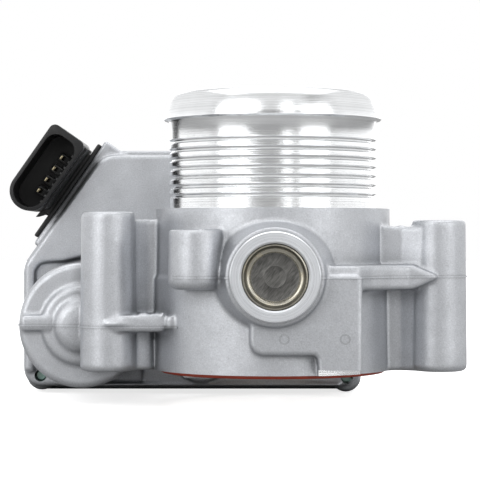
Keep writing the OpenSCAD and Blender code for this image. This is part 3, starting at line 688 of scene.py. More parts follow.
def tinted(colour: Colour, by: float) -> Colour:
    """Makes a colour lighter or darker.

    Args:
        colour: the colour.
        by: what each part is multiplied by.
    Returns: the new colour.
    """
    return tuple(min(c * by, 1.0) for c in colour)


@dataclass(frozen=True)
class CastAluminium:
    """Die-cast aluminium after blasting: pale, grainy and softly mottled, with shade painted into its hollows."""

    name: str = "cast_aluminium"
    tone: Colour = (0.56, 0.574, 0.60)
    grain_mm: float = 0.42
    cloud_mm: float = 9.0
    painted_shade_mm: float = 6.0
    painted_shade_dark: float = 0.52

    def material(self) -> bpy.types.Material:
        """Returns: the finish as a material."""
        g = Graph(self.name)
        grain = g.noise(self.grain_mm, 2.0, 0.6)
        clouds = g.noise(self.cloud_mm, 3.0, 0.6)
        mixed = g.sum(grain, clouds, 0.55)
        # Painted shade: the colour is darkened in hollows and creases by an ambient-occlusion mask.
        g.paint_hollow_shade(
            g.ramp(mixed, [
                (0.50, tinted(self.tone, 0.84)), (0.68, tinted(self.tone, 0.97)),
                (0.86, tinted(self.tone, 1.04)), (1.0, tinted(self.tone, 1.16)),
            ]),
            self.painted_shade_mm, self.painted_shade_dark,
        )
        g.join(g.span(mixed, 0.55, 1.0, 0.50, 0.38), g.shader.inputs["Roughness"])
        g.set(Metallic=0.86)
        pits = g.sum(g.noise(0.32, 2.0, 0.6), g.noise(1.7, 2.0, 0.5), 1.6)
        g.relief(g.sum(pits, g.noise(5.5, 2.0, 0.5), 3.0), 0.05, 0.6)
        return g.material


@dataclass(frozen=True)
class TurnedAluminium:
    """Bright aluminium cut on a lathe, with fine rings about an axis."""

    name: str = "turned_aluminium"
    way: Way = Way.Z
    centre: Point3 = (0.0, 0.0, 0.0)
    tone: Colour = (0.83, 0.84, 0.85)
    ring_mm: float = 0.22
    rough: float = 0.16

    def material(self) -> bpy.types.Material:
        """Returns: the finish as a material."""
        g = Graph(self.name)
        split = g.add("ShaderNodeSeparateXYZ")
        shift = g.stretched((1, 1, 1), move=tuple(-c * MM for c in self.centre))
        g.join(shift, split.inputs["Vector"])
        across = [s for i, s in enumerate(split.outputs) if i != self.way.value]
        squares = []
        for socket in across:
            node = g.add("ShaderNodeMath", operation="MULTIPLY")
            g.join(socket, node.inputs[0])
            g.join(socket, node.inputs[1])
            squares.append(node.outputs["Value"])
        radius = g.add("ShaderNodeMath", operation="SQRT")
        g.join(g.sum(squares[0], squares[1]), radius.inputs[0])
        tool_path = g.add("ShaderNodeCombineXYZ")
        g.join(radius.outputs["Value"], tool_path.inputs["X"])
        g.join(split.outputs[self.way.value], tool_path.inputs["Y"])
        rings = g.noise(self.ring_mm, 3.0, 0.75, tool_path.outputs["Vector"])
        bands = g.noise(self.ring_mm * 9, 2.0, 0.6, tool_path.outputs["Vector"])
        stains = g.noise(6.0, 3.0, 0.6)
        mixed = g.sum(g.sum(rings, bands, 0.5), stains, 0.25)
        g.join(
            g.ramp(
                mixed, [(0.45, tinted(self.tone, 0.72)), (0.85, self.tone), (1.0, tinted(self.tone, 1.12))],
            ),
            g.shader.inputs["Base Color"],
        )
        g.join(g.span(rings, 0.3, 0.7, self.rough * 0.7, self.rough * 1.5), g.shader.inputs["Roughness"])
        g.set(Metallic=1.0)
        g.relief(g.sum(rings, bands, 0.8), 0.022, 0.9)
        return g.material


@dataclass(frozen=True)
class MouldedPlastic:
    """Injection-moulded plastic with a fine spark-eroded grain."""

    name: str
    tone: Colour
    rough: float = 0.42
    grain_mm: float = 0.35
    depth_mm: float = 0.02

    def material(self) -> bpy.types.Material:
        """Returns: the finish as a material."""
        g = Graph(self.name)
        grain = g.noise(self.grain_mm, 2.0, 0.6)
        flow = g.noise(7.0, 3.0, 0.55, g.stretched((1, 0.45, 1)))
        g.join(
            g.ramp(flow, [(0.3, tinted(self.tone, 0.8)), (0.7, tinted(self.tone, 1.25))]),
            g.shader.inputs["Base Color"],
        )
        g.join(
            g.span(g.sum(flow, grain, 0.4), 0.4, 1.0, self.rough * 0.8, self.rough * 1.25),
            g.shader.inputs["Roughness"],
        )
        g.relief(grain, self.depth_mm, 0.6)
        return g.material


@dataclass(frozen=True)
class MouldedRubber:
    """Silicone or nitrile rubber, matte with a trace of mould release."""

    name: str
    tone: Colour
    rough: float = 0.55

    def material(self) -> bpy.types.Material:
        """Returns: the finish as a material."""
        g = Graph(self.name)
        bloom = g.noise(3.5, 4.0, 0.6)
        g.join(
            g.ramp(bloom, [(0.3, tinted(self.tone, 0.82)), (0.72, tinted(self.tone, 1.16))]),
            g.shader.inputs["Base Color"],
        )
        g.join(g.span(bloom, 0.3, 0.7, self.rough * 0.85, self.rough * 1.15), g.shader.inputs["Roughness"])
        g.relief(g.noise(0.5, 2.0, 0.5), 0.02, 0.5)
        return g.material


@dataclass(frozen=True)
class ReflectionStreakedMetal:
    """Dark pressed steel with fine slanting streaks painted into its colour as a reflection."""

    name: str = "plug_floor_painted_reflection"
    tone: Colour = (0.13, 0.128, 0.122)
    line_mm: float = 0.27

    def material(self) -> bpy.types.Material:
        """Returns: the finish as a material."""
        g = Graph(self.name)
        across = g.noise(self.line_mm, 2.0, 0.7, g.stretched((1.0, 1.0, 0.12), (0, 38, 0)))
        clouds = g.noise(3.0, 3.0, 0.6)
        mixed = g.sum(across, clouds, 0.5)
        g.join(
            g.ramp(
                mixed, [(0.5, tinted(self.tone, 0.6)), (0.75, self.tone), (0.95, tinted(self.tone, 1.5))],
            ),
            g.shader.inputs["Base Color"],
        )
        g.join(g.span(across, 0.3, 0.7, 0.34, 0.55), g.shader.inputs["Roughness"])
        g.set(Metallic=0.9)
        g.relief(across, 0.05, 0.8)
        return g.material


@dataclass(frozen=True)
class WorkedMetal:
    """A drawn, plated, ground or sintered metal, told apart by its tone, shine and grain."""

    name: str
    tone: Colour
    rough: float = 0.3
    metallic: float = 1.0
    grain_mm: float = 0.6
    stretch: Point3 = (1.0, 1.0, 1.0)
    depth_mm: float = 0.01
    blush: Colour | None = None

    def material(self) -> bpy.types.Material:
        """Returns: the finish as a material."""
        g = Graph(self.name)
        grain = g.noise(self.grain_mm, 3.0, 0.6, g.stretched(self.stretch))
        clouds = g.noise(5.0, 3.0, 0.6)
        far = self.blush or tinted(self.tone, 1.15)
        mixed = g.sum(clouds, grain, 0.4)
        g.join(
            g.ramp(mixed, [(0.45, tinted(self.tone, 0.78)), (0.7, self.tone), (0.92, far)]),
            g.shader.inputs["Base Color"],
        )
        g.join(g.span(mixed, 0.45, 0.95, self.rough * 0.8, self.rough * 1.3), g.shader.inputs["Roughness"])
        g.set(Metallic=self.metallic)
        g.relief(grain, self.depth_mm, 0.7)
        return g.material


class Finishes:
    """Every finish of the unit, made once."""

    def __init__(self, layout: Layout) -> None:
        """Makes the materials.

        Args:
            layout: places of the turned faces' axes.
        """
        shaft = (0.0, 0.0, layout.shaft_z)
        self.cast = CastAluminium().material()
        self.turned = TurnedAluminium().material()
        self.turned_nose = TurnedAluminium(
            "turned_nose", Way.Y, shaft, (0.82, 0.84, 0.87), 0.3, 0.32,
        ).material()
        self.milled = WorkedMetal(
            "milled_aluminium", (0.78, 0.79, 0.80), 0.24, grain_mm=0.5, stretch=(0.2, 1, 1),
        ).material()
        self.black = MouldedPlastic("black_glass_filled_plastic", (0.006, 0.006, 0.0065), 0.38).material()
        self.inner_black = MouldedPlastic("black_inner_plastic", (0.008, 0.008, 0.0085), 0.5).material()
        self.gear_plastic = MouldedPlastic("gear_plastic", (0.62, 0.57, 0.44), 0.4).material()
        self.chip = MouldedPlastic("chip_moulding", (0.02, 0.02, 0.022), 0.5, 0.15).material()
        self.laminate = MouldedPlastic("board_laminate", (0.012, 0.10, 0.04), 0.28, 0.6).material()
        self.silicone = MouldedRubber("brick_red_silicone", (0.38, 0.050, 0.022)).material()
        self.nitrile = MouldedRubber("black_nitrile", (0.015, 0.015, 0.015), 0.6).material()
        self.plug = WorkedMetal(
            "yellow_zinc_plug", (0.44, 0.42, 0.36), 0.22, grain_mm=0.5, blush=(0.56, 0.51, 0.39)
        ).material()
        # The plug's floor: dark, with slanting streaks painted in as a reflection.
        self.plug_floor = ReflectionStreakedMetal().material()
        self.green_zinc = WorkedMetal(
            "green_passivated_zinc", (0.30, 0.44, 0.39), 0.36, grain_mm=0.3, blush=(0.46, 0.56, 0.50)
        ).material()
        self.zinc = WorkedMetal("clear_zinc", (0.60, 0.61, 0.60), 0.3, grain_mm=0.4).material()
        self.ground = WorkedMetal(
            "ground_steel", (0.56, 0.57, 0.58), 0.18, grain_mm=0.25, stretch=(1, 8, 1),
        ).material()
        self.bearing = WorkedMetal("bearing_steel", (0.62, 0.63, 0.64), 0.12, grain_mm=0.3).material()
        self.plate = WorkedMetal(
            "throttle_plate_brass", (0.60, 0.44, 0.20), 0.3, grain_mm=0.5, stretch=(1, 1, 6),
            blush=(0.66, 0.52, 0.28)
        ).material()
        self.spring = WorkedMetal("oil_tempered_wire", (0.16, 0.17, 0.19), 0.34, grain_mm=0.3).material()
        self.drawn = WorkedMetal(
            "drawn_steel_can", (0.58, 0.59, 0.60), 0.28, grain_mm=0.6, stretch=(3, 0.5, 3),
        ).material()
        self.sintered = WorkedMetal(
            "sintered_magnet", (0.07, 0.07, 0.075), 0.55, 0.6, 0.3, depth_mm=0.03,
        ).material()
        self.carbon = WorkedMetal(
            "pressed_carbon", (0.03, 0.03, 0.03), 0.5, 0.3, 0.25, depth_mm=0.03,
        ).material()
        self.bronze = WorkedMetal(
            "sintered_bronze", (0.45, 0.29, 0.12), 0.4, grain_mm=0.25, depth_mm=0.03,
        ).material()
        self.core = WorkedMetal(
            "stacked_core_steel", (0.24, 0.25, 0.26), 0.4, grain_mm=0.5, stretch=(0.1, 4, 0.1),
        ).material()
        self.copper = WorkedMetal(
            "enamelled_copper", (0.55, 0.20, 0.08), 0.28, grain_mm=0.4, stretch=(1, 0.3, 1),
        ).material()
        self.pinion = WorkedMetal("machined_brass", (0.70, 0.52, 0.22), 0.24, grain_mm=0.3).material()
        self.tin = WorkedMetal("plated_terminal", (0.26, 0.225, 0.15), 0.26, grain_mm=0.3).material()


# ------------------------------------------------------------------ casting


@dataclass
class HousingCasting:
    """The one-piece aluminium casting: its raw skin first, then the turned and milled faces."""

    layout: Layout
    finishes: Finishes
    base_r: float = 39.0
    collar_r: float = 37.6
    collar_z: float = 51.0
    spigot_r: float = 33.25
    rim_r: float = 35.0
    rim_z: float = 79.4
    groove_count: int = 7
    groove_pitch: float = 2.87
    top_groove_z: float = 72.3
    nose_y: float = -46.0
    nose_r: float = 13.7
    ear_x: float = 52.0
    ear_y: float = -15.0
    ear_r: float = 8.5
    left_ear_h: float = 50.0
    right_ear_h: float = 47.4
    rear_ear: Point2 = (39.5, 34.0)
    rear_ear_h: float = 40.0
    bolt_r: float = 3.4
    bracket: Point2 = (-24.0, -34.0)
    bracket_r: float = 8.3
    pad_y: float = -41.0
    barrel_r: float = 20.1
    barrel_y: float = -8.0
    wall_y: float = 37.0
    wall_step: float = 2.2
    voxel_mm: float = 0.5
    quick_voxel: float = 1.6
    smooth_passes: int = 5
    quick_passes: int = 3
    thin_to: float = 0.16
    quick_thin_to: float = 0.4
    ridge_h: float = 0.34
    ridge_half: float = 0.25
    screw_hole_r: float = 2.05
    shaft_hole_r: float = 4.5
    seal_seat_r: float = 7.0
    bearing_seat_r: float = 9.5
    plug_bore_r: float = 10.1
    thread_r: float = 2.5
    thread_root_r: float = 2.95
    thread_turns: int = 13
    pad_marks: tuple[Point2, ...] = ((2.8, 11.2), (21.1, 11.2))
    raw: Form = field(default_factory=Form)

    def build(self) -> bpy.types.Object:
        """Returns: the finished casting."""
        for step in (
            self._throat, self._bolt_bosses, self._webs, self._bracket_boss, self._shaft_nose,
            self._front_pad, self._motor_barrel, self._gear_case, self._connector_pad,
        ):
            step()
        skin = self._cast_skin()
        carve(skin, self._parting_ridge(skin), Cut.ADD)
        self._work(skin, self._faces(), Cut.REMOVE)
        self._work(skin, self._turned_parts(), Cut.ADD)
        self._work(skin, self._hollows() + self._bores(), Cut.REMOVE)
        shade(skin, 33)
        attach(skin, "housing")
        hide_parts("throttle_housing")
        return skin

    def _throat(self) -> None:
        """Adds the raw base and collar round the air bore."""
        shaft_z = self.layout.shaft_z
        self.raw.bar(
            Way.Z, (0, 0, -2.5), shaft_z + 2.1, self.base_r, self.base_r - 0.5, rim1=0.5, sides=160,
        )
        self.raw.bar(
            Way.Z, (0, 0, 20), self.collar_z - 20 + 1.2, self.collar_r + 0.4, self.collar_r, sides=160,
        )

    def _bolt_bosses(self) -> None:
        """Adds the raw bolt bosses with their rounded ends."""
        for x, height in ((-self.ear_x, self.left_ear_h), (self.ear_x, self.right_ear_h)):
            self.raw.bar(Way.Z, (x, self.ear_y, 0), height, self.ear_r + 0.3, self.ear_r - 0.1, 1.8, 1.2)
        x, y = self.rear_ear
        self.raw.bar(Way.Z, (x, y, 0), self.rear_ear_h, self.ear_r + 0.3, self.ear_r, 1.2, 1.2)
        self.raw.block((16, y - 9, 0.3), (x, y - 1, self.rear_ear_h - 5), 1.2)

    def _webs(self) -> None:
        """Adds the webs and the ribs between the bolt bosses and the throat."""
        motor_z, shaft_z = self.layout.motor_z, self.layout.shaft_z
        upper_left = [
            (-28, -9.5), (-39.5, -9.6), (-43.5, -11.5), (-47.5, -18.5), (-53, -19), (-53, -3), (-28, -3),
        ]
        lower_left = [(-38.2, -3), (-38.2, -12.6), (-44.0, -15.4), (-48.5, -21.4), (-53, -22), (-55, -3)]
        upper_right = [
            (28, -17.6), (40.0, -18.2), (45.5, -20.8), (50, -22.6), (53, -22), (53, -9), (28, -9),
        ]
        lower_right = [
            (28, -14.6), (40.0, -15.4), (44.8, -18.4), (49.5, -22.8), (53, -22), (53, -4), (28, -4),
        ]
        for outline, low, high in (
            (upper_left, 14, self.left_ear_h - 2.6), (lower_left, 0.05, 16),
            (upper_right, 27, self.right_ear_h - 2.1), (lower_right, 0.05, 30),
        ):
            soft = 1.2 if low < 1 else 0.5
            self.raw.column(
                rounded(outline, [1.0, 1.6, 6.0, 4.0] + [1.5] * (len(outline) - 4), 4), low, high, soft,
                0.9,
            )
        # Rib at the motor's height, growing out of the left boss and ending in a small hook
        rib = [
            (-56, -22.8), (-47, -24.2), (-40, -24.0), (-34.4, -23.4), (-33.0, -19), (-33.0, -8), (-56, -8),
        ]
        self.raw.column(rounded(rib, [1, 3, 3, 1.2, 1, 1, 1]), motor_z - 1.4, motor_z + 3.9, 1.5, 1.2)
        self.raw.bar(Way.Z, (-32.0, -22.4, motor_z - 0.4), 4.0, 1.9, rim0=0.8, rim1=0.8, sides=32)
        self.raw.egg((-48, -17.0, motor_z + 1.2), (11, 7.6, 3.2))
        for i, x in enumerate((-43.4, -41.2, -39.9, -37.6, -36.3, -34.6)):
            self.raw.egg((x, -21.8 - 0.5 * (i % 2), motor_z + 3.7), (0.9, 1.3, 0.75 + 0.2 * (i % 3)))
        for i, x in enumerate((-43.0, -40.2, -37.9, 34.2, 36.4, 39.9)):
            top = self.left_ear_h - 2.6 if x < 0 else self.right_ear_h - 2.1
            self.raw.egg((x, (-8.4 if x < 0 else -17.0), top - 0.15), (1.3, 1.1, 0.5 + 0.2 * (i % 2)))
        # Thick lens from the pad's top to the right boss
        lens = [
            (12, -39.8), (25.4, -39.8), (29.5, -34.0), (36, -28.2), (42, -24.9), (46, -20.0), (46, -8),
            (12, -8),
        ]
        self.raw.column(rounded(lens, [1, 2, 6, 8, 4, 2, 1, 1]), shaft_z - 4.2, shaft_z + 3.4, 3.5, 3.0)
        tip = [
            (34, shaft_z - 4.2), (43, shaft_z - 4.2), (52, shaft_z - 0.3), (43, shaft_z + 3.4),
            (34, shaft_z + 3.4),
        ]
        self.raw.prism(rounded(tip, [1, 5, 1, 5, 1]), -25.2, -10, 2.6)

    def _bracket_boss(self) -> None:
        """Adds the raw bracket boss and what ties it to the body."""
        x, y = self.bracket
        self.raw.bar(Way.Z, (x, y, 26), 18.2, self.bracket_r + 0.1, self.bracket_r - 0.1, 2.8, 1.0)
        self.raw.block((x - 5, y, 27.5), (x + 5, -24, 42.5), 1.0)
        self.raw.block((x + 2, y - 3.5, 27.2), (-9, -26, 35.5), 1.4)
        self.raw.block((x + 2, y - 1.5, 30), (-12, -26, 41.5), 1.2)

    def _shaft_nose(self) -> None:
        """Adds the raw cone round the shaft's plugged end and the block of its rear bearing."""
        z = self.layout.shaft_z
        cone = [(0, 24), (19.4, 24), (18.8, 30), (18.2, 35), (15.3, 41.4), (14.9, 43.4), (0, 43.4)]
        self.raw.turned(Way.Y, (0, 0, z), [(r, -h) for r, h in cone])
        self.raw.bar(Way.Y, (0, 26, z), 13, 13.5)

    def _front_pad(self) -> None:
        """Adds the flat pad below the shaft."""
        z = self.layout.shaft_z
        outline = rounded(
            [(26.3, -2), (26.3, z + 0.6), (-7.5, z + 0.6), (-7.5, 6.3), (12.8, 6.3), (13.4, -2)],
            [0, 1.4, 1.4, 4, 1.6, 0],
        )
        self.raw.prism(outline, self.pad_y, -24, 1.0)

    def _motor_barrel(self) -> None:
        """Adds the raw barrel with its stepped dome and the rib across it."""
        x, z = self.layout.motor_x, self.layout.motor_z
        self.raw.bar(Way.Y, (x, self.barrel_y, z), 46, self.barrel_r, rim0=1.9, sides=160)
        dome = [
            (0, 12.3), (3.5, 12.2), (6.2, 11.9), (7.9, 11.1), (8.7, 10.0), (9.3, 9.7), (11.3, 9.7),
            (12.4, 9.3),
            (12.9, 8.4), (13.0, 4), (0, 4),
        ]
        self.raw.turned(Way.Y, (x, 0, z), [(r, -h) for r, h in dome], sides=96)
        self.raw.block(
            (x - self.barrel_r + 1.0, self.barrel_y - 2.3, z - 1.7), (x - 9, self.barrel_y + 3, z + 3.3),
            0.9,
        )

    def _gear_case(self) -> None:
        """Adds the raw gear case: floor, raised wall face, joint flange and screw lobes."""
        lay = self.layout
        floor = self.wall_y + self.wall_step
        self.raw.prism(lay.case_outline(0), floor, lay.joint_y + 0.6, 1.0)
        left, low, high = lay.case_left, lay.case_low, lay.case_high
        recess = rounded(
            [(left, low + 5), (left + 3.6, low + 5), (left + 3.6, 33.2), (-70.5, 33.8), (-60, 36.2), (-44, 36.6),
             (-44, low), (lay.case_right, low), (lay.case_right, high), (-57.6, high), (left, 32.6)],
            [1, 1, 4, 3, 3, 2, 1, 5, 6, 9, 7],
        )
        self.raw.prism(recess, self.wall_y, floor + 1, 1.0)
        self.raw.prism(lay.case_outline(lay.joint_lip), lay.joint_y - 4, lay.joint_y + 0.6, 0.5)
        for (x, z), start, radius in self.lobes():
            self.raw.bar(Way.Y, (x, start, z), lay.joint_y + 0.6 - start, radius, rim0=0.8)
        self.raw.bar(Way.Y, (-23.8, self.wall_y - 1.6, low + 11), 4, 9.5, rim0=0.7)
        self.raw.block(
            (-70, self.wall_y - 0.6, low + 0.1), (lay.case_right - 5, self.wall_y + 2, low + 1.2), 0.3,
        )

    def lobes(self) -> list[tuple[Point2, float, float]]:
        """Returns: centre, front face and radius of each screw lobe."""
        lay = self.layout
        left = (lay.case_left + 5.3, lay.case_low + 3.6)
        right = (lay.case_right - 2.8, lay.case_low + 2.9)
        return [(left, lay.floor_y + 3, 5.3), (right, lay.floor_y + 3, 5.3)]

    def _connector_pad(self) -> None:
        """Adds the raw pad behind the connector's flange."""
        lay = self.layout
        corners = [lay.on_face(a, o) for a, o in ((-21.7, -13), (21.7, -13), (21.7, 0), (-21.7, 0))]
        self.raw.prism(rounded(corners, [0.6] * 4, 3), lay.floor_y - 0.5, lay.joint_y + 0.6, 0.5)

    def _cast_skin(self) -> bpy.types.Object:
        """Returns: the raw pieces run together, with the fillets and soft edges that casting gives."""
        skin = self.raw.finish("throttle_housing_casting", materials=self._slots())
        grid = skin.modifiers.new("grid", "REMESH")
        grid.mode = "VOXEL"
        grid.voxel_size = self.voxel_mm * MM * 1.0
        soft = skin.modifiers.new("soft", "SMOOTH")
        soft.factor = 0.5
        soft.iterations = self.smooth_passes
        thin = skin.modifiers.new("thin", "DECIMATE")
        thin.ratio = self.thin_to
        settle(skin)
        for face in skin.data.polygons:
            face.material_index = CAST
        return skin

    def _parting_ridge(self, skin: bpy.types.Object) -> bpy.types.Object:
        """Makes the fine ridge left where the mould's halves met.

        Args:
            skin: the cast skin that the ridge follows.
        Returns: the ridge.
        """
        ridge = skin.copy()
        ridge.data = skin.data.copy()
        bpy.context.scene.collection.objects.link(ridge)
        swell = ridge.modifiers.new("swell", "DISPLACE")
        swell.strength = self.ridge_h * MM
        swell.mid_level = 0.0
        settle(ridge)
        shaft_z, motor_z = self.layout.shaft_z - 0.3, self.layout.motor_z
        half = self.ridge_half
        lines = Form()
        lines.block((-31, -60, shaft_z - half), (62, 20, shaft_z + half))
        lines.block((-84, -60, motor_z - half), (-30, 20, motor_z + half))
        carve(ridge, lines.finish("parting_planes"), Cut.KEEP)
        return ridge

    def _slots(self) -> tuple[bpy.types.Material, ...]:
        """Returns: the casting's materials, in the order of its indices."""
        fin = self.finishes
        return (fin.cast, fin.turned, fin.turned_nose, fin.milled)

    def _work(self, skin: bpy.types.Object, forms: Sequence[Form], cut: Cut) -> None:
        """Cuts the casting by shapes, or adds them, one after another.

        Args:
            skin: the casting.
            forms: the shapes, none of which overlaps itself.
            cut: what they do.
        """
        for form in forms:
            carve(skin, form.finish("tool", materials=self._slots()), cut)

    def _faces(self) -> list[Form]:
        """Returns: what is milled off the flange, the collar and the joint."""
        lay = self.layout
        edge = self.wall_y - 0.4
        front = [(-63, -60), (63, -60), (63, edge), (-44, edge), (-44, -9.6), (-63, -9.6)]
        form = Form()
        form.column(front, -6, 0, material=MILLED)
        form.column(
            [(-60, -60), (60, -60), (60, edge), (-60, edge)], self.collar_z, self.collar_z + 6, material=MILLED,
        )
        form.prism(lay.case_outline(lay.joint_lip + 8), lay.joint_y, lay.joint_y + 3, material=MILLED)
        return [form]

    def _turned_parts(self) -> list[Form]:
        """Returns: the metal of the turned spigot and shaft nose."""
        form = Form()
        r, rim = self.spigot_r, self.rim_r
        profile = [(20, self.collar_z - 3), (r, self.collar_z - 3)]
        for i in reversed(range(self.groove_count)):
            z = self.top_groove_z - i * self.groove_pitch
            profile += [(r, z - 0.78), (r - 0.12, z - 0.66), (r - 0.62, z - 0.34), (r - 0.74, z),
                        (r - 0.62, z + 0.34), (r - 0.12, z + 0.66), (r, z + 0.78)]
        top = self.layout.spigot_z
        profile += [
            (r, self.rim_z - 0.7), (r + 0.2, self.rim_z - 0.25), (r + 0.7, self.rim_z),
            (rim - 0.25, self.rim_z),
            (rim, self.rim_z + 0.25), (rim, self.rim_z + 1.4), (rim - 1.35, top - 2.7),
            (rim - 1.9, top - 1.2),
            (rim - 2.8, top - 0.25), (rim - 3.5, top), (20, top),
        ]
        form.turned(Way.Z, (0, 0, 0), profile, sides=256, closed=True, material=TURNED)
        nose = [
            (0, 42), (self.nose_r, 42), (self.nose_r, -self.nose_y - 0.35),
            (self.nose_r - 0.35, -self.nose_y), (0, -self.nose_y),
        ]
        form.turned(Way.Y, (0, 0, self.layout.shaft_z), [(a, -b) for a, b in nose], sides=160, material=NOSE)
        return [form]

    def _bores(self) -> list[Form]:
        """Returns: everything that is bored, drilled or turned out of the casting."""
        lay = self.layout
        top = lay.spigot_z
        first = Form().turned(Way.Z, (0, 0, 0), [
            (0, -2), (lay.bore_r + 0.5, -2), (lay.bore_r + 0.5, 0), (lay.bore_r, 0.5),
            (lay.bore_r, top - 0.5),
            (lay.bore_r + 0.6, top + 0.1), (lay.bore_r + 0.6, top + 2), (0, top + 2)], sides=256, material=TURNED)
        self._drill_bolts(first)
        for (px, pz), *_ in self.lobes():
            first.bar(Way.Y, (px, self.wall_y - 4, pz), lay.joint_y + 2 - self.wall_y + 4, self.screw_hole_r, sides=48)
        for px, pz in CoverAssembly.inner_screws(lay):
            first.bar(Way.Y, (px, lay.floor_y + 6, pz), 20, self.screw_hole_r, sides=32, material=MILLED)
        for px, pz in self.pad_marks:
            ring = [
                (1.15, self.pad_y - 1), (1.6, self.pad_y - 1), (1.6, self.pad_y + 0.16),
                (1.15, self.pad_y + 0.16),
            ]
            first.turned(Way.Y, (px, 0, pz), ring, sides=40, closed=True)
        second = Form()
        groove = [(32.65, -1), (36.35, -1), (36.35, 2.4), (32.65, 2.4)]
        second.turned(Way.Z, (0, 0, 0), groove, sides=256, closed=True, material=TURNED)
        relief = [
            around((0, 0), r, a) for r, turn in ((40.5, 1), (52, -1)) for a in range(-72, -43, 2)[::turn]
        ]
        second.column(relief, -1, 1.9, material=TURNED)
        # Shaft line: plug bore, bearing seats, seal seats and the hole for the shaft
        for sign, mouth in ((-1, -self.nose_y), (1, lay.floor_y)):
            steps = [
                (0, 20), (self.shaft_hole_r, 20), (self.shaft_hole_r, 32), (self.seal_seat_r, 32),
                (self.seal_seat_r, 35), (self.bearing_seat_r, 35), (self.bearing_seat_r, 40.6),
            ]
            if sign < 0:
                steps += [
                    (self.plug_bore_r, 41), (self.plug_bore_r, mouth - 0.5), (self.plug_bore_r + 0.5, mouth),
                    (self.plug_bore_r + 0.5, mouth + 2), (0, mouth + 2),
                ]
            else:
                steps += [(self.bearing_seat_r, mouth + 0.2), (0, mouth + 0.2)]
            second.turned(Way.Y, (0, 0, lay.shaft_z), [(r, sign * h) for r, h in steps], material=NOSE)
        return [first, second]

    def _drill_bolts(self, form: Form) -> None:
        """Adds the bolt holes with their spot faces and the bracket boss's tapped hole.

        Args:
            form: the shape that they are added to.
        """
        for x, y, height in (
            (-self.ear_x, self.ear_y, self.left_ear_h), (self.ear_x, self.ear_y, self.right_ear_h),
            (*self.rear_ear, self.rear_ear_h),
        ):
            form.turned(Way.Z, (x, y, 0), [
                (0, -4), (self.bolt_r, -4), (self.bolt_r, height - 0.6), (self.bolt_r + 0.4, height - 0.2),
                (self.ear_r - 1.2, height - 0.2), (self.ear_r - 1.2, height + 3), (0, height + 3)], material=MILLED)
        thread = [(0, 30.2)]
        for i in range(self.thread_turns):
            thread += [(self.thread_r, 30.2 + i), (self.thread_root_r, 30.7 + i)]
        thread += [(self.thread_r, 43.2), (3.3, 44.0), (3.3, 47), (0, 47)]
        form.turned(Way.Z, (*self.bracket, 0), thread, sides=48, material=MILLED)

    def _hollows(self) -> list[Form]:
        """Returns: the cast hollows of the gear case, the motor barrel and the connector's window."""
        lay = self.layout
        motor = [
            (0, lay.motor_y - 4.3), (5.5, lay.motor_y - 4.3), (5.5, lay.motor_y - 0.5),
            (17.5, lay.motor_y - 0.5),
            (17.5, lay.floor_y + 1), (0, lay.floor_y + 1)]
        window = [lay.on_face(a, o) for a, o in ((-13, -16), (13, -16), (13, 2), (-13, 2))]
        return [
            Form().prism(lay.case_outline(-3), lay.floor_y, lay.joint_y + 2, 0.8),
            Form().turned(Way.Y, (lay.motor_x, 0, lay.motor_z), motor),
            Form().prism(window, lay.floor_y + 4.5, lay.floor_y + 13.5),
        ]


# ------------------------------------------------------------------ cover


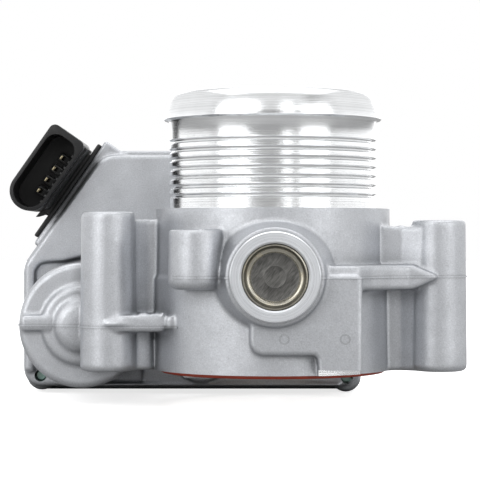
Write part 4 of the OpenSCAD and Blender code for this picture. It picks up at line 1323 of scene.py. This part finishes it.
@dataclass
class CoverAssembly:
    """The cast cover of the gear case and the screws that hold it."""

    layout: Layout
    finishes: Finishes
    head_r: float = 3.7
    screw_r: float = 2.0
    dome_inset: float = 4.6

    @staticmethod
    def inner_screws(lay: Layout) -> list[Point2]:
        """Finds the screws inside the case outline.

        Args:
            lay: the unit's layout.
        Returns: their centres in X and Z.
        """
        inset = 5.0
        axle_x = box_mm("intermediate_axle")[0].x + 2.0
        face = lay.face_at
        return [
            (lay.case_right - inset, lay.case_high - inset), (-14.0, lay.case_high - inset + 0.6),
            (face.x + 17, lay.case_high - inset + 0.2), (lay.case_left + inset, face.y - 27),
            (axle_x + 12, lay.case_low + inset + 0.6),
        ]

    def _screws_at(self) -> list[Point2]:
        """Returns: the centres of all the cover's screws."""
        lay = self.layout
        lobes = [(lay.case_left + 5.3, lay.case_low + 3.6), (lay.case_right - 2.8, lay.case_low + 2.9)]
        return lobes + self.inner_screws(lay)

    def build(self) -> list[bpy.types.Object]:
        """Returns: the cover and its screws."""
        return [self._cover(), self._screws()]

    def _cover(self) -> bpy.types.Object:
        """Returns: the cast cover with its dome, ribs and screw pockets."""
        lay = self.layout
        raw = Form()
        raw.prism(lay.case_outline(lay.joint_lip), lay.joint_y, lay.cover_y, 0, 0.9)
        for x, z in self._screws_at()[:2]:
            raw.bar(Way.Y, (x, lay.joint_y, z), lay.cover_y - lay.joint_y, 5.3, rim1=0.9)
        pad = [lay.on_face(a, o) for a, o in ((-21.7, -12), (21.7, -12), (21.7, 0), (-21.7, 0))]
        raw.prism(rounded(pad, [0.6] * 4, 3), lay.joint_y, lay.cover_y, 0, 0.6)
        top = lay.dome_y - 1.3
        raw.prism(lay.case_outline(-self.dome_inset), lay.joint_y, top, 0, 1.6)
        for z in (10, 20, 40, 50):
            raw.block((-60 if z > 15 else -46, top - 1, z - 1.0), (16, lay.dome_y, z + 1.0), 0.7)
        for (x, z), radius in (((0, lay.shaft_z), 13.5), ((lay.motor_x, lay.motor_z), 11.5)):
            raw.bar(Way.Y, (x, top - 1, z), lay.dome_y - top + 0.8, radius, rim1=0.8)
            raw.bar(Way.Y, (x, top - 1, z), lay.dome_y - top + 1.0, radius - 7, rim1=0.8)
        fin = self.finishes
        cover = raw.finish("gear_case_cover_casting", materials=(fin.cast, fin.milled))
        grid = cover.modifiers.new("grid", "REMESH")
        grid.mode = "VOXEL"
        grid.voxel_size = 0.45 * MM * 1.0
        soft = cover.modifiers.new("soft", "SMOOTH")
        soft.factor = 0.5
        soft.iterations = 6
        thin = cover.modifiers.new("thin", "DECIMATE")
        thin.ratio = 0.22
        settle(cover)
        for face in cover.data.polygons:
            face.material_index = 0
        pockets = Form()
        for x, z in self._screws_at():
            pockets.turned(Way.Y, (x, 0, z), [
                (0, lay.joint_y - 1), (2.2, lay.joint_y - 1), (2.2, lay.cover_y),
                (self.head_r + 1.1, lay.cover_y),
                (self.head_r + 1.1, lay.dome_y + 2), (0, lay.dome_y + 2)], sides=64, material=1)
        for tool in (
            Form().prism(lay.case_outline(6), lay.joint_y - 3, lay.joint_y + 0.02, material=1),
            pockets, Form().prism(lay.case_outline(-8), lay.joint_y - 1, lay.dome_y - 2.9),
        ):
            carve(cover, tool.finish("tool", materials=(fin.cast, fin.milled)), Cut.REMOVE)
        shade(cover, 33)
        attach(cover, "housing")
        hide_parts("gear_case_cover")
        return cover

    def _screws(self) -> bpy.types.Object:
        """Returns: the seven cover screws with washer heads and hexalobular sockets."""
        lay = self.layout
        form = Form()
        for i, (x, z) in enumerate(self._screws_at()):
            start = lay.floor_y + (1.5 if i < 2 else 6.0)
            y = lay.cover_y
            form.turned(Way.Y, (x, 0, z), [
                (0, start), (self.screw_r - 0.5, start), (self.screw_r, start + 0.5),
                (self.screw_r, y + 0.3),
                (self.head_r, y + 0.02), (self.head_r, y + 0.6), (3.2, y + 0.75), (3.05, y + 2.2),
                (2.6, y + 2.6),
                (1.75, y + 2.6), (1.65, y + 2.3), (1.65, y + 0.9), (0, y + 0.9)], sides=48)
            for k in range(6):
                px, pz = around((x, z), 1.72, 60 * k)
                form.bar(Way.Y, (px, y + 0.8, pz), 1.75, 0.42, rim1=0.1, sides=12)
        screws = form.finish("cover_screw_set", materials=(self.finishes.green_zinc,))
        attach(screws, "housing")
        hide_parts("cover_screws")
        return screws


# ------------------------------------------------------------------ connector


@dataclass
class HarnessConnector:
    """The black connector on the case's slanted face, and its four pins."""

    layout: Layout
    finishes: Finishes
    mouth_y: float = 23.0
    back_y: float = 49.4
    middle: float = 1.6
    lift: float = 9.6
    length: float = 30.2
    width: float = 13.4
    wall: float = 1.25
    socket_depth: float = 17.0
    flange_length: float = 38.6
    flange_t: float = 1.5
    pin_pitch: float = 4.5

    def _ring(self, inset: float, square_end: float, grow_end: float = 0.0) -> list[Point2]:
        """Draws the shroud's outline: round at its lower end and squarer at its upper end.

        Args:
            inset: how far the outline is moved inwards.
            square_end: corner radius of the upper end.
            grow_end: how much more the upper end is moved inwards.
        Returns: X, Z points.
        """
        half_l, half_w = self.length / 2 - inset, self.width / 2 - inset
        right = half_l - grow_end
        corners = [(-half_l, -half_w), (right, -half_w), (right, half_w), (-half_l, half_w)]
        flat = rounded(corners, [half_w * 0.98, square_end, square_end, half_w * 0.98], 12)
        return [self.layout.on_face(self.middle + a, self.lift + o) for a, o in flat]

    def build(self) -> list[bpy.types.Object]:
        """Returns: the connector's moulding and its pins."""
        return [self._moulding(), self._pins()]

    def _on(self, corners: Sequence[Point2], radius: float = 0.0) -> list[Point2]:
        """Places an outline drawn along and out of the slanted face.

        Args:
            corners: its corners.
            radius: rounding of its corners.
        Returns: X, Z points.
        """
        flat = rounded(corners, [radius] * len(corners), 3) if radius else corners
        return [self.layout.on_face(a, o) for a, o in flat]

    def _moulding(self) -> bpy.types.Object:
        """Returns: the black moulding with its shroud, neck, flange and guide ribs."""
        lay, fin = self.layout, self.finishes
        slots = (fin.black, fin.inner_black)
        shell = Form().prism(self._ring(0, 2.2), self.mouth_y, self.back_y, 0.3, 1.6, 3).finish(
            "harness_connector_moulding", materials=slots)
        for form in self._outer_details():
            carve(shell, form.finish("tool", materials=slots), Cut.ADD)
        socket = Form().prism(
            self._ring(self.wall, 4.2, 0.9), self.mouth_y - 1, self.mouth_y + self.socket_depth, material=1)
        carve(shell, socket.finish("tool", materials=slots), Cut.REMOVE)
        for form in self._inner_details():
            carve(shell, form.finish("tool", materials=slots), Cut.ADD)
        passages = Form()
        for along, out in self._pin_spots():
            slot = self._on(oblong(along, 0.8, out - 0.45, out + 0.45))
            passages.prism(slot, self.mouth_y + 10, lay.floor_y + 6.9)
        carve(shell, passages.finish("tool", materials=slots), Cut.REMOVE)
        shade(shell, 35)
        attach(shell, "housing")
        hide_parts("connector_housing")
        return shell

    def _pin_spots(self) -> list[Point2]:
        """Returns: each pin's place along the face and out of it."""
        return [(self.middle + (i - 1.5) * self.pin_pitch, self.lift - 1.9) for i in range(4)]

    def _outer_details(self) -> list[Form]:
        """Returns: the flange plate, the neck, the spigot into the window, the hook and the side rail."""
        lay = self.layout
        face_y, window_y = lay.floor_y, lay.floor_y + 4.5
        half = self.flange_length / 2
        plate = self._on([(-half, 0), (half, 0), (half, self.flange_t), (-half, self.flange_t)], 0.5)
        neck = self._on([(-10.4, 1), (14.6, 1), (14.6, 4.6), (-10.4, 4.6)], 0.4)
        inner = self._on([(-12.7, -11.8), (12.7, -11.8), (12.7, 1.2), (-12.7, 1.2)])
        hook = self._on(
            [(-10.0, 1.2), (-10.0, 4.6), (-13.9, 4.9), (-13.4, 4.2), (-11.4, 2.6), (-11.0, 1.2)],
        )
        rail = self._on([(-9, 2.2), (15.8, 2.2), (15.8, 3.6), (-9, 3.6)], 0.4)
        return [
            Form().prism(plate, face_y, lay.joint_y - 0.6, 0.3, 0.3, 2),
            Form().prism(neck, face_y + 0.6, lay.joint_y - 2.6, 0.5, 0.5, 2),
            Form().prism(inner, window_y + 0.3, window_y + 8.7),
            Form().prism(hook, window_y - 2, window_y + 1.2, 0.15, 0.15, 2),
            Form().prism(rail, self.mouth_y + 5, self.back_y - 1, 0.4, 0.4, 2),
        ]

    def _inner_details(self) -> list[Form]:
        """Returns: the guide ribs along the socket's inner wall and the blocks that the pins stand in."""
        low = self.lift - self.width / 2 + self.wall
        end = self.mouth_y + self.socket_depth + 1
        ribs, blocks = Form(), Form()
        for i in range(9):
            along = self.middle - 9.2 + i * 2.3
            rib = self._on(oblong(along, 0.45, low - 0.3, low + 0.7))
            ribs.prism(rib, self.mouth_y + 1.6, end, 0.2, 0, 2)
        for along, out in self._pin_spots():
            block = self._on(oblong(along, 1.5, out - 2.4, out + 1.7), 0.4)
            blocks.prism(block, self.mouth_y + 12.5, end, 0.4, 0, 2)
        return [ribs, blocks]

    def _pins(self) -> bpy.types.Object:
        """Returns: the four blades with tapered tips, turned inwards to the board."""
        lay = self.layout
        form = Form()
        board_y = box_mm("connector_pins")[1].y
        turn_y = lay.floor_y + 6.0
        for along, out in self._pin_spots():
            for lows, highs, y0, y1, tip in (
                (out - 0.4, out + 0.4, self.mouth_y + 4.5, turn_y + 0.8, 0.3),
                (-15.0, out + 0.4, turn_y, turn_y + 0.8, 0.1), (-15.0, -14.2, turn_y, board_y, 0.1),
            ):
                blade = self._on(oblong(along, 0.75, lows, highs))
                form.prism(blade, y0, y1, tip, 0, 2)
        pins = form.finish("connector_pin_set", materials=(self.finishes.tin,))
        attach(pins, "housing")
        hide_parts("connector_pins")
        return pins


# ------------------------------------------------------------------ small turned pieces


@dataclass
class ShaftEndPlug:
    """The zinc-plated cup pressed into the shaft's bore."""

    layout: Layout
    finishes: Finishes

    def build(self) -> bpy.types.Object:
        """Returns: the plug."""
        floor, lip = 42.3, 44.7
        outer = 10.08
        profile = [
            (0, -floor + 1.0), (8.4, -floor + 1.0), (outer - 0.5, -floor + 0.6), (outer, -floor),
            (outer, -lip + 0.4),
            (outer - 0.3, -lip), (outer - 0.7, -lip - 0.05), (outer - 1.0, -lip + 0.35),
            (outer - 1.25, -floor - 1.2),
            (8.0, -floor - 0.55), (7.6, -floor - 0.55), (7.3, -floor - 0.15), (7.0, -floor), (3.5, -floor),
            (3.3, -floor - 0.09), (3.1, -floor), (0, -floor),
        ]
        form = Form().turned(Way.Y, (0, 0, self.layout.shaft_z), profile, sides=160)
        # The cup's floor takes the dark streaked finish: a painted reflection, darker than the rim of the same pressed
        # cup.
        for face in form.mesh.faces:
            spot = face.calc_center_median()
            if math.hypot(spot.x, spot.z - self.layout.shaft_z) < 7.35 and spot.y < -floor + 0.5:
                face.material_index = 1
        plug = form.finish("shaft_end_cup", 40, (self.finishes.plug, self.finishes.plug_floor))
        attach(plug, "housing")
        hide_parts("shaft_end_plug")
        return plug


@dataclass
class FlangeSeal:
    """The moulded ring in the flange's groove, with two lips."""

    layout: Layout
    finishes: Finishes
    inner_r: float = 32.8
    width: float = 3.4
    depth: float = 2.4

    def build(self) -> bpy.types.Object:
        """Returns: the seal."""
        inner, outer = self.inner_r, self.inner_r + self.width
        lip = self.width / 4
        profile = [(inner, self.depth), (inner, -0.2)]
        for middle in (inner + lip, outer - lip):
            for k in range(9):
                a, h = around((middle, -0.35), 0.85, 180 - 180 * k / 8)
                profile.append((a, -0.35 - abs(h + 0.35)))
        profile += [(outer, -0.2), (outer, self.depth)]
        form = Form().turned(Way.Z, (0, 0, 0), profile, sides=256, closed=True)
        seal = form.finish("flange_ring", 40, (self.finishes.silicone,))
        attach(seal, "housing")
        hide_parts("flange_seal")
        return seal


# ------------------------------------------------------------------ inner parts


class InnerParts:
    """The nodes whose shape is already right, dressed in their finishes."""

    def __init__(self, finishes: Finishes) -> None:
        """Pairs each node with its finish.

        Args:
            finishes: the unit's finishes.
        """
        fin = finishes
        self.dress: dict[bpy.types.Material, tuple[str, ...]] = {
            fin.bearing: ("front_bearing_outer_race", "front_bearing_inner_race", "front_bearing_balls",
                          "rear_bearing_outer_race", "rear_bearing_inner_race", "rear_bearing_balls"),
            fin.nitrile: ("front_shaft_seal", "rear_shaft_seal", "cover_gasket"),
            fin.silicone: ("connector_seal", "flange_seal"),
            fin.ground: ("throttle_shaft", "intermediate_axle", "motor_shaft"),
            fin.plate: ("throttle_plate",),
            fin.zinc: ("plate_screws", "motor_screws", "board_screws", "motor_mount_plate"),
            fin.gear_plastic: ("throttle_gear", "intermediate_gear"),
            fin.inner_black: ("spring_guide", "brush_holder", "connector_housing"),
            fin.sintered: ("sensor_magnet", "motor_magnets"),
            fin.spring: ("return_spring",),
            fin.drawn: ("motor_can",),
            fin.carbon: ("motor_brushes",),
            fin.bronze: ("motor_rear_bush", "motor_front_bush"),
            fin.core: ("armature_core",),
            fin.copper: ("armature_winding", "commutator"),
            fin.pinion: ("motor_pinion",),
            fin.tin: ("motor_terminals", "connector_pins"),
            fin.laminate: ("control_board",),
            fin.chip: ("board_chips",),
            fin.cast: ("throttle_housing", "gear_case_cover"),
            fin.green_zinc: ("cover_screws",),
            fin.plug: ("shaft_end_plug",),
        }

    def build(self) -> None:
        """Gives every node its finish."""
        for material, nodes in self.dress.items():
            for name in nodes:
                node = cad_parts[name]
                node.data.materials.clear()
                node.data.materials.append(material)


# ------------------------------------------------------------------ studio


@dataclass
class Studio:
    """The pale floor, the soft lights and the camera."""

    eye: Point3 = (-10.5, -593.0, 41.1)
    lens_mm: float = 137.85
    floor_z: float = -11.6
    floor_reach: float = 4000.0
    floor_glow: float = 0.75
    bounce: float = 0.34
    room: tuple[tuple[float, float], ...] = (
        (0.0, 0.08), (0.45, 0.14), (0.51, 1.5), (0.62, 0.95), (1.0, 0.8),
    )
    front_dim: tuple[float, float, float, float] = (-0.6, -0.25, 0.40, 1.0)
    softboxes: tuple[tuple[str, Point3, Point2, float], ...] = (
        ("top", (0, -60, 520), (760, 460), 1.3),
        ("key", (-60, -420, 420), (800, 420), 0.45),
        ("left", (-530, -550, 210), (440, 500), 1.20),
        ("right", (560, -560, 200), (460, 500), 1.15),
        ("fill", (-330, -640, 300), (300, 320), 0.50),
        ("strip", (190, -720, 260), (110, 420), 0.30),
        ("back", (60, 620, 320), (800, 400), 1.0),
    )

    def build(self) -> None:
        """Sets up the stage."""
        self._camera()
        self._floor()
        self._world()
        self._lights()
        bpy.context.scene.view_settings.view_transform = "Standard"
        bpy.context.scene.view_settings.look = "None"

    def _camera(self) -> None:
        """Places the camera level, looking along +Y."""
        data = bpy.data.cameras.new("camera")
        data.lens = self.lens_mm
        data.sensor_width = 36
        data.clip_end = 100
        camera = bpy.data.objects.new("camera", data)
        camera.location = [c * MM for c in self.eye]
        camera.rotation_euler = (math.pi / 2, 0, 0)
        bpy.context.scene.collection.objects.link(camera)
        bpy.context.scene.camera = camera

    def _floor(self) -> None:
        """Lays the floor just under the lowest part, bright enough to run into the background."""
        reach = self.floor_reach
        form = Form().block((-reach, -reach, self.floor_z - 2), (reach, reach, self.floor_z))
        g = Graph("studio_floor")
        seen = g.add("ShaderNodeLightPath").outputs["Is Camera Ray"]
        paint = g.add("ShaderNodeMix", data_type="RGBA")
        g.join(seen, paint.inputs["Factor"])
        paint.inputs[MIX_FIRST].default_value = (self.bounce, self.bounce, self.bounce, 1)
        pale = [(0.3, (0.80, 0.80, 0.80)), (0.7, (0.84, 0.84, 0.84))]
        g.join(g.ramp(g.noise(60.0, 2.0), pale), paint.inputs[MIX_SECOND])
        g.join(paint.outputs[MIX_COLOUR], g.shader.inputs["Base Color"])
        g.set(Roughness=0.9)
        glow = g.add("ShaderNodeMath", operation="MULTIPLY")
        g.join(seen, glow.inputs[0])
        glow.inputs[1].default_value = self.floor_glow
        g.shader.inputs["Emission Color"].default_value = (1, 1, 1, 1)
        g.join(glow.outputs["Value"], g.shader.inputs["Emission Strength"])
        form.finish("studio_floor", materials=(g.material,))

    def _world(self) -> None:
        """Makes a white background, and a dimmer room with a bright ceiling for the metal to reflect."""
        world = bpy.data.worlds.new("studio")
        world.use_nodes = True
        nodes, links = world.node_tree.nodes, world.node_tree.links
        sky = nodes["Background"]
        split = nodes.new("ShaderNodeSeparateXYZ")
        links.new(nodes.new("ShaderNodeTexCoord").outputs["Generated"], split.inputs["Vector"])
        height = nodes.new("ShaderNodeMapRange")
        height.inputs["From Min"].default_value = -1.0
        links.new(split.outputs["Z"], height.inputs["Value"])
        room = nodes.new("ShaderNodeValToRGB")
        band = room.color_ramp
        while len(band.elements) < len(self.room):
            band.elements.new(0.5)
        for element, (spot, level) in zip(band.elements, self.room):
            element.position = spot
            element.color = (level, level, level, 1)
        links.new(height.outputs["Result"], room.inputs["Fac"])
        front = nodes.new("ShaderNodeMapRange")
        for socket, number in zip(("From Min", "From Max", "To Min", "To Max"), self.front_dim):
            front.inputs[socket].default_value = number
        links.new(split.outputs["Y"], front.inputs["Value"])
        dimmed = nodes.new("ShaderNodeVectorMath")
        dimmed.operation = "SCALE"
        links.new(room.outputs["Color"], dimmed.inputs[0])
        links.new(front.outputs["Result"], dimmed.inputs["Scale"])
        choose = nodes.new("ShaderNodeMix")
        choose.data_type = "RGBA"
        links.new(nodes.new("ShaderNodeLightPath").outputs["Is Camera Ray"], choose.inputs["Factor"])
        links.new(dimmed.outputs["Vector"], choose.inputs[MIX_FIRST])
        choose.inputs[MIX_SECOND].default_value = (1, 1, 1, 1)
        links.new(choose.outputs[MIX_COLOUR], sky.inputs["Color"])
        bpy.context.scene.world = world

    def _lights(self) -> None:
        """Hangs the softboxes."""
        for name, place, size, power in self.softboxes:
            data = bpy.data.lights.new(name, "AREA")
            data.shape = "RECTANGLE"
            data.size, data.size_y = size[0] * MM, size[1] * MM
            data.energy = power
            lamp = bpy.data.objects.new(name, data)
            lamp.location = [c * MM for c in place]
            aim = Vector((0, 0, 0.04)) - lamp.location
            lamp.rotation_euler = aim.to_track_quat("-Z", "Y").to_euler()
            bpy.context.scene.collection.objects.link(lamp)


def main() -> None:
    """Builds the whole unit and its stage."""
    logging.basicConfig(level=logging.INFO, format="%(name)s: %(message)s")
    layout = Layout.from_frame()
    finishes = Finishes(layout)
    Studio().build()
    InnerParts(finishes).build()
    builders: list[Callable[[], object]] = [
        HousingCasting(layout, finishes).build, CoverAssembly(layout, finishes).build,
        HarnessConnector(layout, finishes).build, ShaftEndPlug(layout, finishes).build,
        FlangeSeal(layout, finishes).build,
    ]
    for build in builders:
        made = build()
        for piece in made if isinstance(made, list) else [made]:
            LOG.info("%s: %d faces", piece.name, len(piece.data.polygons))


if __name__ == "__main__":
    main()
